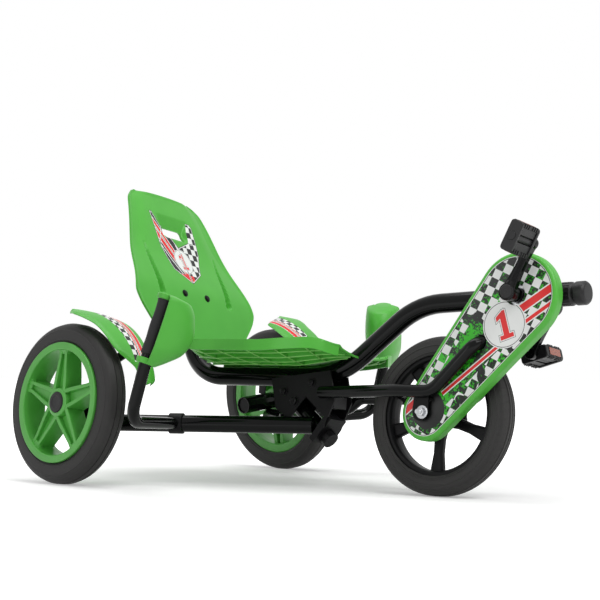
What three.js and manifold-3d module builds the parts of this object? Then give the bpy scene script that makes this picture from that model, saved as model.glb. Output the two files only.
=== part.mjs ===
// A child's pedal go kart with three wheels, driven at the front and steered at the back.
// The front frame carries the seat, the front wheel, the pedals and the chain guard.
// The rear frame carries the two cambered rear wheels and the hand levers.
// It swings on a tilted bolt under the seat, so the rider leans into a turn.
// Millimetres, +X forward, +Y to the rider's left, +Z up.
import * as THREE from 'three';
import * as BufferGeometryUtils from 'three/addons/utils/BufferGeometryUtils.js';
import Module from 'manifold-3d';

const wasm = await Module();
wasm.setup();

// Driving dimensions
const wheelbase = 727.4;
const rearTrack = 648.3;
const frontTyreRadius = 158;
const frontTyreWidth = 52;
const rearTyreRadius = 171.5;
const rearTyreWidth = 56.3;
const rearCamber = THREE.MathUtils.degToRad(6.37);
const steeringTilt = THREE.MathUtils.degToRad(38);
const turnAtRest = THREE.MathUtils.degToRad(9.56);
const pivotSetback = 325;
const pivotHeight = 148;

// Clearances
const seam = 0.4;
const runningGap = 1.5;
const overrun = 6;

// Facets
const tubeSides = 12;
const boreSides = 8;
const wheelSegments = 32;
const bendStep = THREE.MathUtils.degToRad(16);

// Colours, from the photograph
const green = 0x5cb14a;
const black = 0x0b0c0d;
const softBlack = 0x1c1d1f;
const tyreBlack = 0x3d3b3c;
const steel = 0xb9bcc0;

const up = new THREE.Vector3(0, 0, 1);
const across = new THREE.Vector3(0, 1, 0);
const steeringAxis = new THREE.Vector3(-Math.cos(steeringTilt), 0, Math.sin(steeringTilt));
const steeringNormal = new THREE.Vector3(Math.sin(steeringTilt), 0, Math.cos(steeringTilt));
const pivot = new THREE.Vector3(-pivotSetback, 0, pivotHeight);

function material(color, roughness, metalness) {
  return new THREE.MeshStandardMaterial({ color, roughness, metalness });
}

const greenPlastic = () => material(green, 0.42, 0);
const blackPlastic = () => material(softBlack, 0.5, 0);
const blackPaint = () => material(black, 0.22, 0.1);
const rubber = () => material(tyreBlack, 0.8, 0);
const brightSteel = () => material(steel, 0.3, 1);

// Solids: a closed mesh as a solid and back, and its joins and cuts
function weld(geometry) {
  const bare = geometry.clone();
  bare.deleteAttribute('normal');
  bare.deleteAttribute('uv');
  const merged = BufferGeometryUtils.mergeVertices(bare, 1e-4);
  const index = merged.getIndex().array;
  const kept = [];
  for (let i = 0; i < index.length; i += 3) {
    const [a, b, c] = [index[i], index[i + 1], index[i + 2]];
    if (a !== b && b !== c && c !== a) kept.push(a, b, c);
  }
  merged.setIndex(kept);
  if (signedVolume(merged) < 0) turnInsideOut(merged);
  merged.computeVertexNormals();
  return merged;
}

function signedVolume(geometry) {
  const place = geometry.getAttribute('position');
  const index = geometry.getIndex().array;
  const corner = [new THREE.Vector3(), new THREE.Vector3(), new THREE.Vector3()];
  let volume = 0;
  for (let i = 0; i < index.length; i += 3) {
    corner.forEach((point, k) => point.fromBufferAttribute(place, index[i + k]));
    volume += corner[0].dot(corner[1].clone().cross(corner[2])) / 6;
  }
  return volume;
}

function turnInsideOut(geometry) {
  const index = Array.from(geometry.getIndex().array);
  for (let i = 0; i < index.length; i += 3) {
    [index[i + 1], index[i + 2]] = [index[i + 2], index[i + 1]];
  }
  geometry.setIndex(index);
}

function toSolid(geometry) {
  const closed = weld(geometry);
  const mesh = new wasm.Mesh({
    numProp: 3,
    vertProperties: new Float32Array(closed.getAttribute('position').array),
    triVerts: new Uint32Array(closed.getIndex().array),
  });
  return new wasm.Manifold(mesh);
}

function toGeometry(solid) {
  const mesh = solid.getMesh();
  const geometry = new THREE.BufferGeometry();
  const places = new Float32Array(mesh.vertProperties);
  geometry.setAttribute('position', new THREE.BufferAttribute(places, 3));
  geometry.setIndex(Array.from(mesh.triVerts));
  return geometry;
}

function cut(geometry, ...tools) {
  return toGeometry(tools.reduce((rest, tool) => rest.subtract(toSolid(tool)), toSolid(geometry)));
}

function join(geometry, ...others) {
  return toGeometry(others.reduce((whole, other) => whole.add(toSolid(other)), toSolid(geometry)));
}

function common(geometry, other) {
  return toGeometry(toSolid(geometry).intersect(toSolid(other)));
}

function addPiece(parent, name, makeMaterial, geometry) {
  const mesh = new THREE.Mesh(weld(geometry), makeMaterial());
  mesh.name = name;
  parent.add(mesh);
  return mesh;
}

// A path of straight runs joined by round bends, with one station at each end and each bend step
class BentPath extends THREE.Curve {
  constructor(corners, radii) {
    super();
    this.stations = [];
    const last = corners.length - 1;
    const directions = corners.slice(1).map((point, i) => point.clone().sub(corners[i]).normalize());
    this.addStation(corners[0], directions[0]);
    for (let i = 1; i < last; i += 1) {
      this.addBend(corners[i], directions[i - 1], directions[i], radii[i - 1]);
    }
    this.addStation(corners[last], directions[last - 1]);
    this.steps = this.stations.length - 1;
  }

  addStation(point, tangent) {
    this.stations.push({ point: point.clone(), tangent: tangent.clone() });
  }

  addBend(corner, before, after, radius) {
    const turn = before.angleTo(after);
    const reach = radius * Math.tan(turn / 2);
    const start = corner.clone().addScaledVector(before, -reach);
    const axis = before.clone().cross(after).normalize();
    const inward = axis.clone().cross(before);
    const centre = start.clone().addScaledVector(inward, radius);
    const count = Math.max(1, Math.ceil(turn / bendStep));
    for (let k = 0; k <= count; k += 1) {
      const angle = (turn * k) / count;
      const arm = start.clone().sub(centre).applyAxisAngle(axis, angle);
      this.addStation(centre.clone().add(arm), before.clone().applyAxisAngle(axis, angle));
    }
  }

  between(t, key) {
    const place = t * this.steps;
    const i = Math.min(Math.floor(place), this.steps - 1);
    return this.stations[i][key].clone().lerp(this.stations[i + 1][key], place - i);
  }

  getPoint(t) {
    return this.between(t, 'point');
  }

  getPointAt(t) {
    return this.between(t, 'point');
  }

  getTangent(t) {
    return this.between(t, 'tangent').normalize();
  }

  getTangentAt(t) {
    return this.getTangent(t);
  }
}

function circlePoints(radius, sides) {
  const points = [];
  for (let i = 0; i < sides; i += 1) {
    const angle = (2 * Math.PI * i) / sides;
    points.push(new THREE.Vector2(radius * Math.cos(angle), radius * Math.sin(angle)));
  }
  return points;
}

function sweep(shape, path) {
  return new THREE.ExtrudeGeometry(shape, { steps: path.steps, extrudePath: path });
}

function rod(path, radius, sides = tubeSides) {
  return sweep(new THREE.Shape(circlePoints(radius, sides)), path);
}

function tube(path, radius, wall) {
  const shape = new THREE.Shape(circlePoints(radius, tubeSides));
  shape.holes.push(new THREE.Path(circlePoints(radius - wall, boreSides)));
  return sweep(shape, path);
}

// The largest round bar that fits in a faceted tube's bore
function boreFit(radius, wall) {
  return (radius - wall) * Math.cos(Math.PI / boreSides) - seam;
}

function line(from, to) {
  return new BentPath([from, to], []);
}

// A straight round bar along Y, centred on a point
function pin(centre, radius, from, to, sides = tubeSides) {
  const geometry = new THREE.CylinderGeometry(radius, radius, to - from, sides);
  return geometry.translate(centre.x, (from + to) / 2, centre.z);
}

function box(length, width, height, centre) {
  return new THREE.BoxGeometry(length, width, height).translate(centre.x, centre.y, centre.z);
}

// A plate parallel to the XZ plane, between two places on Y
function plate(outline, from, to) {
  const shape = new THREE.Shape(outline.map(([x, z]) => new THREE.Vector2(x, z)));
  const geometry = new THREE.ExtrudeGeometry(shape, { depth: to - from, bevelEnabled: false });
  return geometry.rotateX(Math.PI / 2).translate(0, to, 0);
}

function lathe(profile, segments = wheelSegments) {
  const points = profile.map(([radius, along]) => new THREE.Vector2(radius, along));
  return new THREE.LatheGeometry(points, segments);
}

function closedLathe(profile, segments = wheelSegments) {
  return lathe([...profile, profile[0]], segments);
}

// A moulded shell between two surfaces over the same grid
function shell(front, back, columns, rows) {
  const places = [];
  const index = [];
  const stride = columns + 1;
  const sheet = stride * (rows + 1);
  [front, back].forEach((surface) => {
    for (let j = 0; j <= rows; j += 1) {
      for (let i = 0; i <= columns; i += 1) {
        places.push(...surface(i / columns, j / rows).toArray());
      }
    }
  });
  const quad = (a, b, c, d) => index.push(a, b, c, a, c, d);
  for (let j = 0; j < rows; j += 1) {
    for (let i = 0; i < columns; i += 1) {
      const a = j * stride + i;
      quad(a, a + 1, a + 1 + stride, a + stride);
      quad(a + sheet, a + stride + sheet, a + 1 + stride + sheet, a + 1 + sheet);
    }
  }
  const rim = [];
  for (let i = 0; i < columns; i += 1) rim.push(i);
  for (let j = 0; j < rows; j += 1) rim.push(j * stride + columns);
  for (let i = columns; i > 0; i -= 1) rim.push(rows * stride + i);
  for (let j = rows; j > 0; j -= 1) rim.push(j * stride);
  rim.forEach((a, k) => {
    const b = rim[(k + 1) % rim.length];
    quad(b, a, a + sheet, b + sheet);
  });
  const geometry = new THREE.BufferGeometry();
  geometry.setAttribute('position', new THREE.Float32BufferAttribute(places, 3));
  geometry.setIndex(index);
  return geometry;
}

// A straight-line table: pairs of a place and its value, both as shares
function fromTable(table, place) {
  if (place <= table[0][0]) return table[0][1];
  for (let i = 1; i < table.length; i += 1) {
    const [before, low] = table[i - 1];
    const [after, high] = table[i];
    if (place <= after) return low + ((high - low) * (place - before)) / (after - before);
  }
  return table[table.length - 1][1];
}

function smoothStep(share) {
  const t = THREE.MathUtils.clamp(share, 0, 1);
  return t * t * (3 - 2 * t);
}

// The outline of two circles and their outer tangents, in the XZ plane
function beltOutline(low, lowRadius, high, highRadius, lowCount, highCount) {
  const dx = high.x - low.x;
  const dz = high.z - low.z;
  const run = Math.hypot(dx, dz);
  const heading = Math.atan2(dz, dx);
  const lean = Math.acos((lowRadius - highRadius) / run);
  const points = [];
  const arc = (centre, radius, start, end, count) => {
    for (let i = 0; i <= count; i += 1) {
      const angle = start + ((end - start) * i) / count;
      points.push([centre.x + radius * Math.cos(angle), centre.z + radius * Math.sin(angle)]);
    }
  };
  arc(high, highRadius, heading - lean, heading + lean, highCount);
  arc(low, lowRadius, heading + lean, heading - lean + 2 * Math.PI, lowCount);
  return points;
}

// A solid through a list of like outlines, each at its own place on Y
function loft(outlines, places) {
  const vertices = [];
  const index = [];
  const count = outlines[0].length;
  outlines.forEach((outline, j) => outline.forEach(([x, z]) => vertices.push(x, places[j], z)));
  for (let j = 0; j < outlines.length - 1; j += 1) {
    for (let i = 0; i < count; i += 1) {
      const a = j * count + i;
      const b = j * count + ((i + 1) % count);
      index.push(a, b, b + count, a, b + count, a + count);
    }
  }
  const top = (outlines.length - 1) * count;
  for (let i = 1; i < count - 1; i += 1) {
    index.push(0, i + 1, i);
    index.push(top, top + i, top + i + 1);
  }
  const geometry = new THREE.BufferGeometry();
  geometry.setAttribute('position', new THREE.Float32BufferAttribute(vertices, 3));
  geometry.setIndex(index);
  return geometry;
}

// Tyres: an oval section, open at the beads, round a wheel axis along Y
const tyreWall = 4;
const tyreOpenShare = 0.68;
const tyreSteps = 6;

function tyreSection(tyreRadius, width, beadRadius, inset) {
  const middle = (tyreRadius + beadRadius) / 2;
  const tall = tyreRadius - middle - inset;
  const wide = width / 2 - inset;
  const points = [];
  for (let i = -tyreSteps / 2; i <= tyreSteps / 2; i += 1) {
    const angle = (tyreOpenShare * Math.PI * i) / (tyreSteps / 2);
    points.push([middle + tall * Math.cos(angle), wide * Math.sin(angle)]);
  }
  return points;
}

function tyreProfile(tyreRadius, width, beadRadius) {
  const outer = tyreSection(tyreRadius, width, beadRadius, 0);
  const inner = tyreSection(tyreRadius, width, beadRadius, tyreWall).reverse();
  return [...outer, ...inner];
}

// The height of a wheel's centre when its axis tips by an angle and its tyre touches the floor
function standingHeight(profile, tip) {
  const heights = profile.map(([radius, along]) => radius * Math.cos(tip) + Math.abs(along) * Math.sin(tip));
  return Math.max(...heights);
}

const innerTubeShare = 0.6;
const innerTubeSides = 6;
const innerTubeSegments = 20;

function innerTube(tyreRadius, width, beadRadius) {
  const middle = (tyreRadius + beadRadius) / 2;
  const radius = (width / 2 - tyreWall) * innerTubeShare;
  const profile = circlePoints(radius, innerTubeSides).map((point) => [middle + point.x, point.y]);
  return closedLathe(profile, innerTubeSegments);
}

// Where the neutral front frame sits once it has turned and leaned
const leanTurn = new THREE.Quaternion().setFromAxisAngle(steeringAxis, turnAtRest);
const leanedAcross = across.clone().applyQuaternion(leanTurn);
const leanedUp = up.clone().applyQuaternion(leanTurn);
const leanedForward = new THREE.Vector3(1, 0, 0).applyQuaternion(leanTurn);
const frontBeadRadius = 110;
const frontProfile = tyreProfile(frontTyreRadius, frontTyreWidth, frontBeadRadius);
const frontStanding = standingHeight(frontProfile, Math.asin(Math.abs(leanedAcross.z)));
const axleHeight = pivotHeight + (frontStanding - pivotHeight - leanedForward.z * pivotSetback) / leanedUp.z;
const axle = new THREE.Vector3(0, 0, axleHeight);

const rearBeadRadius = 126;
const rearProfile = tyreProfile(rearTyreRadius, rearTyreWidth, rearBeadRadius);
const rearStanding = standingHeight(rearProfile, rearCamber);

const kart = new THREE.Group();
const rearFrame = new THREE.Group();
const frontFrame = new THREE.Group();
const neutral = new THREE.Group();
frontFrame.position.copy(pivot);
frontFrame.quaternion.copy(leanTurn);
neutral.position.copy(pivot).negate();
frontFrame.add(neutral);
kart.add(rearFrame, frontFrame);

// Main tube: level nose, slope down over the wheel, seat rail, and up behind the seat back
const mainRadius = 20;
const mainWall = 2;
const noseReach = 300;
const noseHeight = 401;
const shoulderSetback = 72;
const shoulderHeight = 382;
const shoulderBend = 170;
const railStartSetback = 256;
const railHeight = 230;
const railBend = 215;
const railEndSetback = 650;
const railEndHeight = 228;
const seatPostBend = 100;
const seatPostSetback = 710.9;
const seatPostHeight = 415;

const mainCorners = [
  new THREE.Vector3(noseReach, 0, noseHeight),
  new THREE.Vector3(-shoulderSetback, 0, shoulderHeight),
  new THREE.Vector3(-railStartSetback, 0, railHeight),
  new THREE.Vector3(-railEndSetback, 0, railEndHeight),
  new THREE.Vector3(-seatPostSetback, 0, seatPostHeight),
];
const mainPath = new BentPath(mainCorners, [shoulderBend, railBend, seatPostBend]);

function mainTubeSpace(gap) {
  return rod(mainPath, mainRadius + gap);
}

// The height of the main tube's centre line between the nose and the shoulder
function noseLineHeight(forward) {
  const share = (forward + shoulderSetback) / (noseReach + shoulderSetback);
  return shoulderHeight + (noseHeight - shoulderHeight) * share;
}

// Crank: its cross tube goes through the nose of the main tube
const crankForward = 186;
const crankDrop = 6.17742;
const crankHeight = noseLineHeight(crankForward) - crankDrop;
const crankLength = 101;
const crankTurn = THREE.MathUtils.degToRad(65);
const crankShellRadius = 17;
const crankShellHalf = 33;
const spindleRadius = 8;
const crank = new THREE.Vector3(crankForward, 0, crankHeight);

function mainTube() {
  const shell = pin(crank, crankShellRadius, -crankShellHalf, crankShellHalf);
  const bore = pin(crank, spindleRadius + runningGap, -crankShellHalf - overrun, crankShellHalf + overrun);
  return cut(join(tube(mainPath, mainRadius, mainWall), shell), bore);
}
addPiece(neutral, 'main_tube', blackPaint, mainTube());

// Rubber cap over the nose
const capRadius = 23;
const capLength = 54;
const capFront = 6;
const capWall = 2.6;

function noseCap() {
  const direction = mainCorners[0].clone().sub(mainCorners[1]).normalize();
  const sleeve = mainRadius + seam;
  const profile = [
    [0, capFront],
    [capRadius - capWall, capFront],
    [capRadius, capFront - capWall],
    [capRadius, -capLength / 3],
    [sleeve + capWall, -capLength / 2],
    [sleeve + capWall, -capLength],
    [sleeve, -capLength],
    [sleeve, seam],
    [0, seam],
  ];
  const geometry = lathe(profile, tubeSides * 2);
  geometry.applyQuaternion(new THREE.Quaternion().setFromUnitVectors(across, direction));
  return geometry.translate(noseReach, 0, noseHeight);
}
addPiece(neutral, 'nose_cap', blackPlastic, noseCap());

// Plug in the top of the seat post
const plugLength = 16;
const plugLip = 3;

function seatPostPlug() {
  const direction = mainCorners[4].clone().sub(mainCorners[3]).normalize();
  const inner = boreFit(mainRadius, mainWall);
  const profile = [
    [0, -plugLength],
    [inner, -plugLength],
    [inner, seam],
    [mainRadius, seam],
    [mainRadius - plugLip / 2, plugLip],
    [0, plugLip],
  ];
  const geometry = lathe(profile, tubeSides);
  geometry.applyQuaternion(new THREE.Quaternion().setFromUnitVectors(across, direction));
  return geometry.translate(-seatPostSetback, 0, seatPostHeight);
}
addPiece(neutral, 'seat_post_plug', blackPlastic, seatPostPlug());

// Fork: one bent tube on each side, from the steering bracket past the wheel and up to the main tube
const forkRadius = 12.5;
const forkWall = 1.8;
const forkHalfSpread = 78;
const forkRearHalfSpread = 46;
const forkRunHeight = 199;
const forkRearHeight = 194;
const forkRearSetback = 265;
const forkFlareSetback = 60;
const forkRiseForward = 25;
const forkTuckForward = 112;
const forkTuckHeight = 291;
const forkInnerForward = 131;
const forkInnerHeight = 314;
const forkInnerHalfSpread = 19;
const forkTopForward = 140;
const forkTopDrop = 12.8;
const forkTopHalfSpread = 14;
const forkWideBend = 150;
const forkRiseBend = 45;
const forkTuckBend = 22;
const joggleRearSetback = 290;
const joggleStartSetback = 262;
const joggleEndSetback = 234;
const joggleRearHeight = 169;
const joggleBend = 30;

const forkFrontBends = [forkWideBend, forkRiseBend, forkTuckBend, forkTuckBend];

const forkTopHeight = noseLineHeight(forkTopForward) - forkTopDrop;

function forkFront(side) {
  return [
    new THREE.Vector3(-forkFlareSetback, side * forkHalfSpread, forkRunHeight),
    new THREE.Vector3(forkRiseForward, side * forkHalfSpread, forkRunHeight),
    new THREE.Vector3(forkTuckForward, side * forkHalfSpread, forkTuckHeight),
    new THREE.Vector3(forkInnerForward, side * forkInnerHalfSpread, forkInnerHeight),
    new THREE.Vector3(forkTopForward, side * forkTopHalfSpread, forkTopHeight),
  ];
}

function rightForkPath() {
  const rear = new THREE.Vector3(-forkRearSetback, -forkRearHalfSpread, forkRearHeight);
  return new BentPath([rear, ...forkFront(-1)], forkFrontBends);
}

// The left tube starts lower on the bracket and joggles up beside the wheel
function leftForkPath() {
  const spread = (setback) => {
    const share = (joggleRearSetback - setback) / (joggleRearSetback - forkFlareSetback);
    return forkRearHalfSpread + (forkHalfSpread - forkRearHalfSpread) * share;
  };
  const rear = [
    new THREE.Vector3(-joggleRearSetback, spread(joggleRearSetback), joggleRearHeight),
    new THREE.Vector3(-joggleStartSetback, spread(joggleStartSetback), joggleRearHeight),
    new THREE.Vector3(-joggleEndSetback, spread(joggleEndSetback), forkRearHeight),
  ];
  return new BentPath([...rear, ...forkFront(1)], [joggleBend, joggleBend, ...forkFrontBends]);
}

const forks = [
  { side: -1, name: 'right', path: rightForkPath() },
  { side: 1, name: 'left', path: leftForkPath() },
];
forks.forEach(({ name, path }) => {
  const body = cut(tube(path, forkRadius, forkWall), mainTubeSpace(seam), crankShellSpace(seam));
  addPiece(neutral, `fork_tube_${name}`, blackPaint, body);
});

function crankShellSpace(gap) {
  return pin(crank, crankShellRadius + gap, -crankShellHalf - gap, crankShellHalf + gap);
}

// Dropouts: flat plates under the fork tubes that hold the front axle
const dropoutWidth = 34;
const dropoutThickness = 4;
const axleRadius = 5;
const dropoutSteps = 8;

function dropout(side, path) {
  const half = dropoutWidth / 2;
  const outline = [
    [half, forkRunHeight],
    [-half, forkRunHeight],
  ];
  for (let i = 0; i <= dropoutSteps; i += 1) {
    const angle = Math.PI * (1 + i / dropoutSteps);
    outline.push([half * Math.cos(angle), axleHeight + half * Math.sin(angle)]);
  }
  const middle = side * (forkHalfSpread - forkRadius / 2);
  const blank = plate(outline, middle - dropoutThickness / 2, middle + dropoutThickness / 2);
  const hole = pin(axle, axleRadius + seam, middle - dropoutThickness, middle + dropoutThickness);
  return cut(blank, rod(path, forkRadius + seam), hole);
}
forks.forEach(({ side, name, path }) => {
  addPiece(neutral, `dropout_${name}`, blackPaint, dropout(side, path));
});

// Front axle and its nuts
const axleNutRadius = 9;
const axleNutThickness = 8;
const dropoutOuter = forkHalfSpread - forkRadius / 2 + dropoutThickness / 2;
const axleHalf = dropoutOuter + axleNutThickness + runningGap * 2;
const nutSides = 6;
addPiece(neutral, 'front_axle', brightSteel, pin(axle, axleRadius, -axleHalf, axleHalf));

function axleNut(side) {
  const inner = side * (dropoutOuter + seam);
  const outer = side * (dropoutOuter + seam + axleNutThickness);
  const from = Math.min(inner, outer);
  const to = Math.max(inner, outer);
  const hex = pin(axle, axleNutRadius, from, to, nutSides);
  return cut(hex, pin(axle, axleRadius + seam, from - overrun, to + overrun));
}
addPiece(neutral, 'axle_nut_right', brightSteel, axleNut(-1));
addPiece(neutral, 'axle_nut_left', brightSteel, axleNut(1));

// Places along the steering bolt and square to it, from the pivot
function bySteering(along, out) {
  const point = pivot.clone().addScaledVector(steeringAxis, along).addScaledVector(steeringNormal, out);
  return [point.x, point.z];
}

// Steering bracket: two side plates welded to the main tube
const bracketHalfSpread = 30;
const bracketThickness = 4;
const bracketTopFrontSetback = 256;
const bracketTopRearSetback = 409;
const bracketTopHeight = 242;
const bracketRearHeight = 222;
const bracketRearLowSetback = 391;
const bracketRearLowHeight = 159;
const bracketFrontSetback = 238;
const bracketFrontHeight = 180;
const sleeveLow = 55;
const sleeveHigh = 50;
const lugGap = 3;
const lugThickness = 8;
const lugHalf = 19;
const swingStart = 15;
const swingEnd = 50;
const swingClear = 37;
const swingDrop = 25;

function bracketPlate(side, path) {
  const lugEnd = sleeveLow + lugGap + lugThickness;
  const outline = [
    [-bracketTopRearSetback, bracketRearHeight],
    [-bracketRearLowSetback, bracketRearLowHeight],
    bySteering(swingStart, -swingDrop),
    bySteering(swingStart, swingClear),
    bySteering(-swingEnd, swingClear),
    bySteering(-swingEnd - lugGap, -lugHalf),
    bySteering(-lugEnd, -lugHalf),
    bySteering(-lugEnd, lugHalf),
    [-bracketFrontSetback, bracketFrontHeight],
    [-bracketTopFrontSetback, bracketTopHeight],
  ];
  const middle = side * bracketHalfSpread;
  const blank = plate(outline, middle - bracketThickness / 2, middle + bracketThickness / 2);
  return cut(blank, rod(path, forkRadius + seam));
}
forks.forEach(({ side, name, path }) => {
  addPiece(neutral, `bracket_plate_${name}`, blackPaint, bracketPlate(side, path));
});

// Yoke: two lugs and their web, between the side plates, that hold the steering bolt
const boltRadius = 7;
const webStart = 31;
const webEnd = 43;
const webHalfWidth = 14;
const lugHalfWidth = bracketHalfSpread - bracketThickness / 2 - seam;

function alongBolt(radius, from, to, sides = tubeSides) {
  const start = pivot.clone().addScaledVector(steeringAxis, from);
  const end = pivot.clone().addScaledVector(steeringAxis, to);
  return rod(line(start, end), radius, sides);
}

function yoke() {
  const lowStart = -sleeveLow - lugGap;
  const lowEnd = lowStart - lugThickness;
  const highStart = sleeveHigh + lugGap;
  const highEnd = highStart + lugThickness;
  const lowLug = [
    bySteering(lowStart, -lugHalf),
    bySteering(lowEnd, -lugHalf),
    bySteering(lowEnd, webEnd),
    bySteering(lowStart, webEnd),
  ];
  const highLug = [
    bySteering(highStart, -lugHalf),
    bySteering(highEnd, -lugHalf),
    bySteering(highEnd, webEnd),
    bySteering(highStart, webEnd),
  ];
  const web = [
    bySteering(lowEnd, webStart),
    bySteering(lowEnd, webEnd),
    bySteering(highEnd, webEnd),
    bySteering(highEnd, webStart),
  ];
  const body = join(
    plate(lowLug, -lugHalfWidth, lugHalfWidth),
    plate(highLug, -lugHalfWidth, lugHalfWidth),
    plate(web, -webHalfWidth, webHalfWidth),
  );
  const bore = alongBolt(boltRadius + seam, lowEnd - overrun, highEnd + overrun);
  return cut(body, bore, mainTubeSpace(seam));
}
addPiece(neutral, 'steering_yoke', blackPaint, yoke());

// Steering bolt with its head at the top and a large nut at the bottom
const boltHeadRadius = 13;
const boltHeadHeight = 9;
const boltNutRadius = 18;
const boltNutHeight = 15;

function steeringBolt() {
  const low = -sleeveLow - lugGap - lugThickness - seam;
  const high = sleeveHigh + lugGap + lugThickness + seam;
  return join(
    alongBolt(boltRadius, low - boltNutHeight, high + boltHeadHeight),
    alongBolt(boltNutRadius, low - boltNutHeight, low),
    alongBolt(boltHeadRadius, high, high + boltHeadHeight, nutSides),
  );
}
addPiece(neutral, 'steering_bolt', brightSteel, steeringBolt());

// Rubber bumper between the side plates, in front of the yoke
const bumperLength = 26;
const bumperWidth = 44;
const bumperHeight = 24;
const bumperOut = 64;
const bumperAlong = 34;

function rubberBumper() {
  const [x, z] = bySteering(-bumperAlong, bumperOut);
  return box(bumperLength, bumperWidth, bumperHeight, new THREE.Vector3(x, 0, z));
}
addPiece(neutral, 'rubber_bumper', rubber, rubberBumper());

// Seat back: a moulded shell that leans back, with a carrying handle near its top
const seatThickness = 5;
const backFootSetback = 632;
const backFootHeight = 262;
const backLean = 186;
const backHeight = 386;
const backHalfWidth = 200;
const backTopDrop = 10;
const backWingForward = 9;
const backStartShare = 0.085;
const backCurveShares = [
  [0, 0],
  [0.176, 0.108],
  [0.383, 0.237],
  [0.617, 0.538],
  [0.873, 0.806],
  [1, 0.96],
];
const backWidthShares = [
  [0.085, 0.66],
  [0.176, 0.79],
  [0.3, 0.97],
  [0.345, 1],
  [0.39, 0.985],
  [0.484, 0.925],
  [0.705, 0.765],
  [0.9, 0.645],
  [0.93, 0.62],
  [0.975, 0.5],
  [1, 0.43],
];
const wingStartShare = 0.62;
const backColumns = 12;
const backRows = 12;

function backCentre(height) {
  const x = -backFootSetback - backLean * fromTable(backCurveShares, height);
  return new THREE.Vector3(x, 0, backFootHeight + backHeight * height);
}

function seatBackSurface(inset) {
  return (u, v) => {
    const height = backStartShare + (1 - backStartShare) * v;
    const point = backCentre(height);
    const reach = 2 * u - 1;
    const wing = smoothStep((Math.abs(reach) - wingStartShare) / (1 - wingStartShare));
    point.y = reach * backHalfWidth * fromTable(backWidthShares, height);
    point.x += backWingForward * wing - inset;
    point.z -= backTopDrop * reach * reach * smoothStep(2 * height - 1);
    return point;
  };
}

const handleWidth = 72;
const handleTall = 24;
const handleShare = 0.758;
const handleDepth = 40;

function seatBack() {
  const centre = backCentre(handleShare);
  return cut(
    shell(seatBackSurface(0), seatBackSurface(seatThickness), backColumns, backRows),
    box(handleDepth, handleWidth, handleTall, centre),
  );
}
addPiece(neutral, 'seat_back', greenPlastic, seatBack());

// Seat bracket: a plate on the front of the seat post, behind the seat back
const seatBracketWidth = 110;
const seatBracketTall = 56;
const seatBracketThickness = 3;
const seatBracketDrop = 34;

function seatBracket() {
  const rise = mainCorners[4].clone().sub(mainCorners[3]).normalize();
  const out = new THREE.Vector3(rise.z, 0, -rise.x);
  const centre = mainCorners[4].clone().addScaledVector(rise, -seatBracketDrop);
  centre.addScaledVector(out, mainRadius + seam + seatBracketThickness / 2);
  const geometry = new THREE.BoxGeometry(seatBracketThickness, seatBracketWidth, seatBracketTall);
  geometry.rotateY(-Math.atan2(-rise.x, rise.z));
  return geometry.translate(centre.x, centre.y, centre.z);
}
addPiece(neutral, 'seat_bracket', blackPaint, seatBracket());

// Seat pan: a shallow dish with raised sides, notched at the front for the rising tube
const panFrontSetback = 196;
const panRearSetback = 606;
const panHalfWidth = 170;
const panCentreHeight = 261;
const panSideRise = 24;
const panThighRise = 20;
const panRearRise = 40;
const panThickness = 5;
const panColumns = 12;
const panRows = 12;
const panWidthShares = [
  [0, 0.8],
  [0.08, 0.93],
  [0.25, 1],
  [0.7, 0.98],
  [0.88, 0.9],
  [1, 0.72],
];
const thighStartShare = 0.6;
const rearStartShare = 0.22;

function seatPanSurface(inset) {
  return (u, v) => {
    const reach = 2 * u - 1;
    const x = -panRearSetback + (panRearSetback - panFrontSetback) * v;
    const side = reach * reach;
    const thigh = smoothStep((v - thighStartShare) / (1 - thighStartShare));
    const rear = smoothStep((rearStartShare - v) / rearStartShare);
    const rise = panSideRise * side + panThighRise * thigh * (1 - side / 2) + panRearRise * rear * side;
    const y = reach * panHalfWidth * fromTable(panWidthShares, v);
    return new THREE.Vector3(x, y, panCentreHeight + rise - inset);
  };
}

function seatPan() {
  const body = shell(seatPanSurface(0), seatPanSurface(panThickness), panColumns, panRows);
  return cut(body, mainTubeSpace(runningGap));
}
addPiece(neutral, 'seat_pan', greenPlastic, seatPan());

// Chain drive: tooth counts set the two pitch circles
const chainPitch = 12.7;
const sprocketTeeth = 18;
const chainringTeeth = 28;
const toothHeight = 2.4;
const toothWidth = 3;
const chainPlane = 49;
const chainWidth = 8;
const chainTall = 5;
const chainCount = 12;

function pitchRadius(teeth) {
  return chainPitch / (2 * Math.sin(Math.PI / teeth));
}

// How far the chain's back stands from a pitch circle
function chainOut(teeth) {
  return pitchRadius(teeth) + toothHeight + runningGap + chainTall;
}

// Chain guard: a dished outer shell and a flat back plate, round the sprocket and the chainring
const guardBack = 40;
const guardWall = 2.5;
const guardRound = 8.5;
const guardFaceRoom = 9;
const guardFootRoom = 7;
const guardHeadRoom = 17.8;
const guardFace = chainPlane + chainWidth / 2 + guardFaceRoom + guardWall;
const guardFootRadius = chainOut(sprocketTeeth) + guardFootRoom + guardWall;
const guardHeadRadius = chainOut(chainringTeeth) + guardHeadRoom + guardWall;
const guardFootForward = 5;
const guardHeadForward = 2;
const guardHeadDrop = 3;
const guardFootCount = 9;
const guardHeadCount = 14;
const guardBackPlate = 2;
const hubHole = 27;
const crankHole = 21;

const guardFoot = new THREE.Vector3(guardFootForward, 0, axleHeight);
const guardHead = new THREE.Vector3(crankForward + guardHeadForward, 0, crankHeight - guardHeadDrop);

function guardOutline(inset) {
  return beltOutline(
    guardFoot,
    guardFootRadius - inset,
    guardHead,
    guardHeadRadius - inset,
    guardFootCount,
    guardHeadCount,
  );
}

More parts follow.
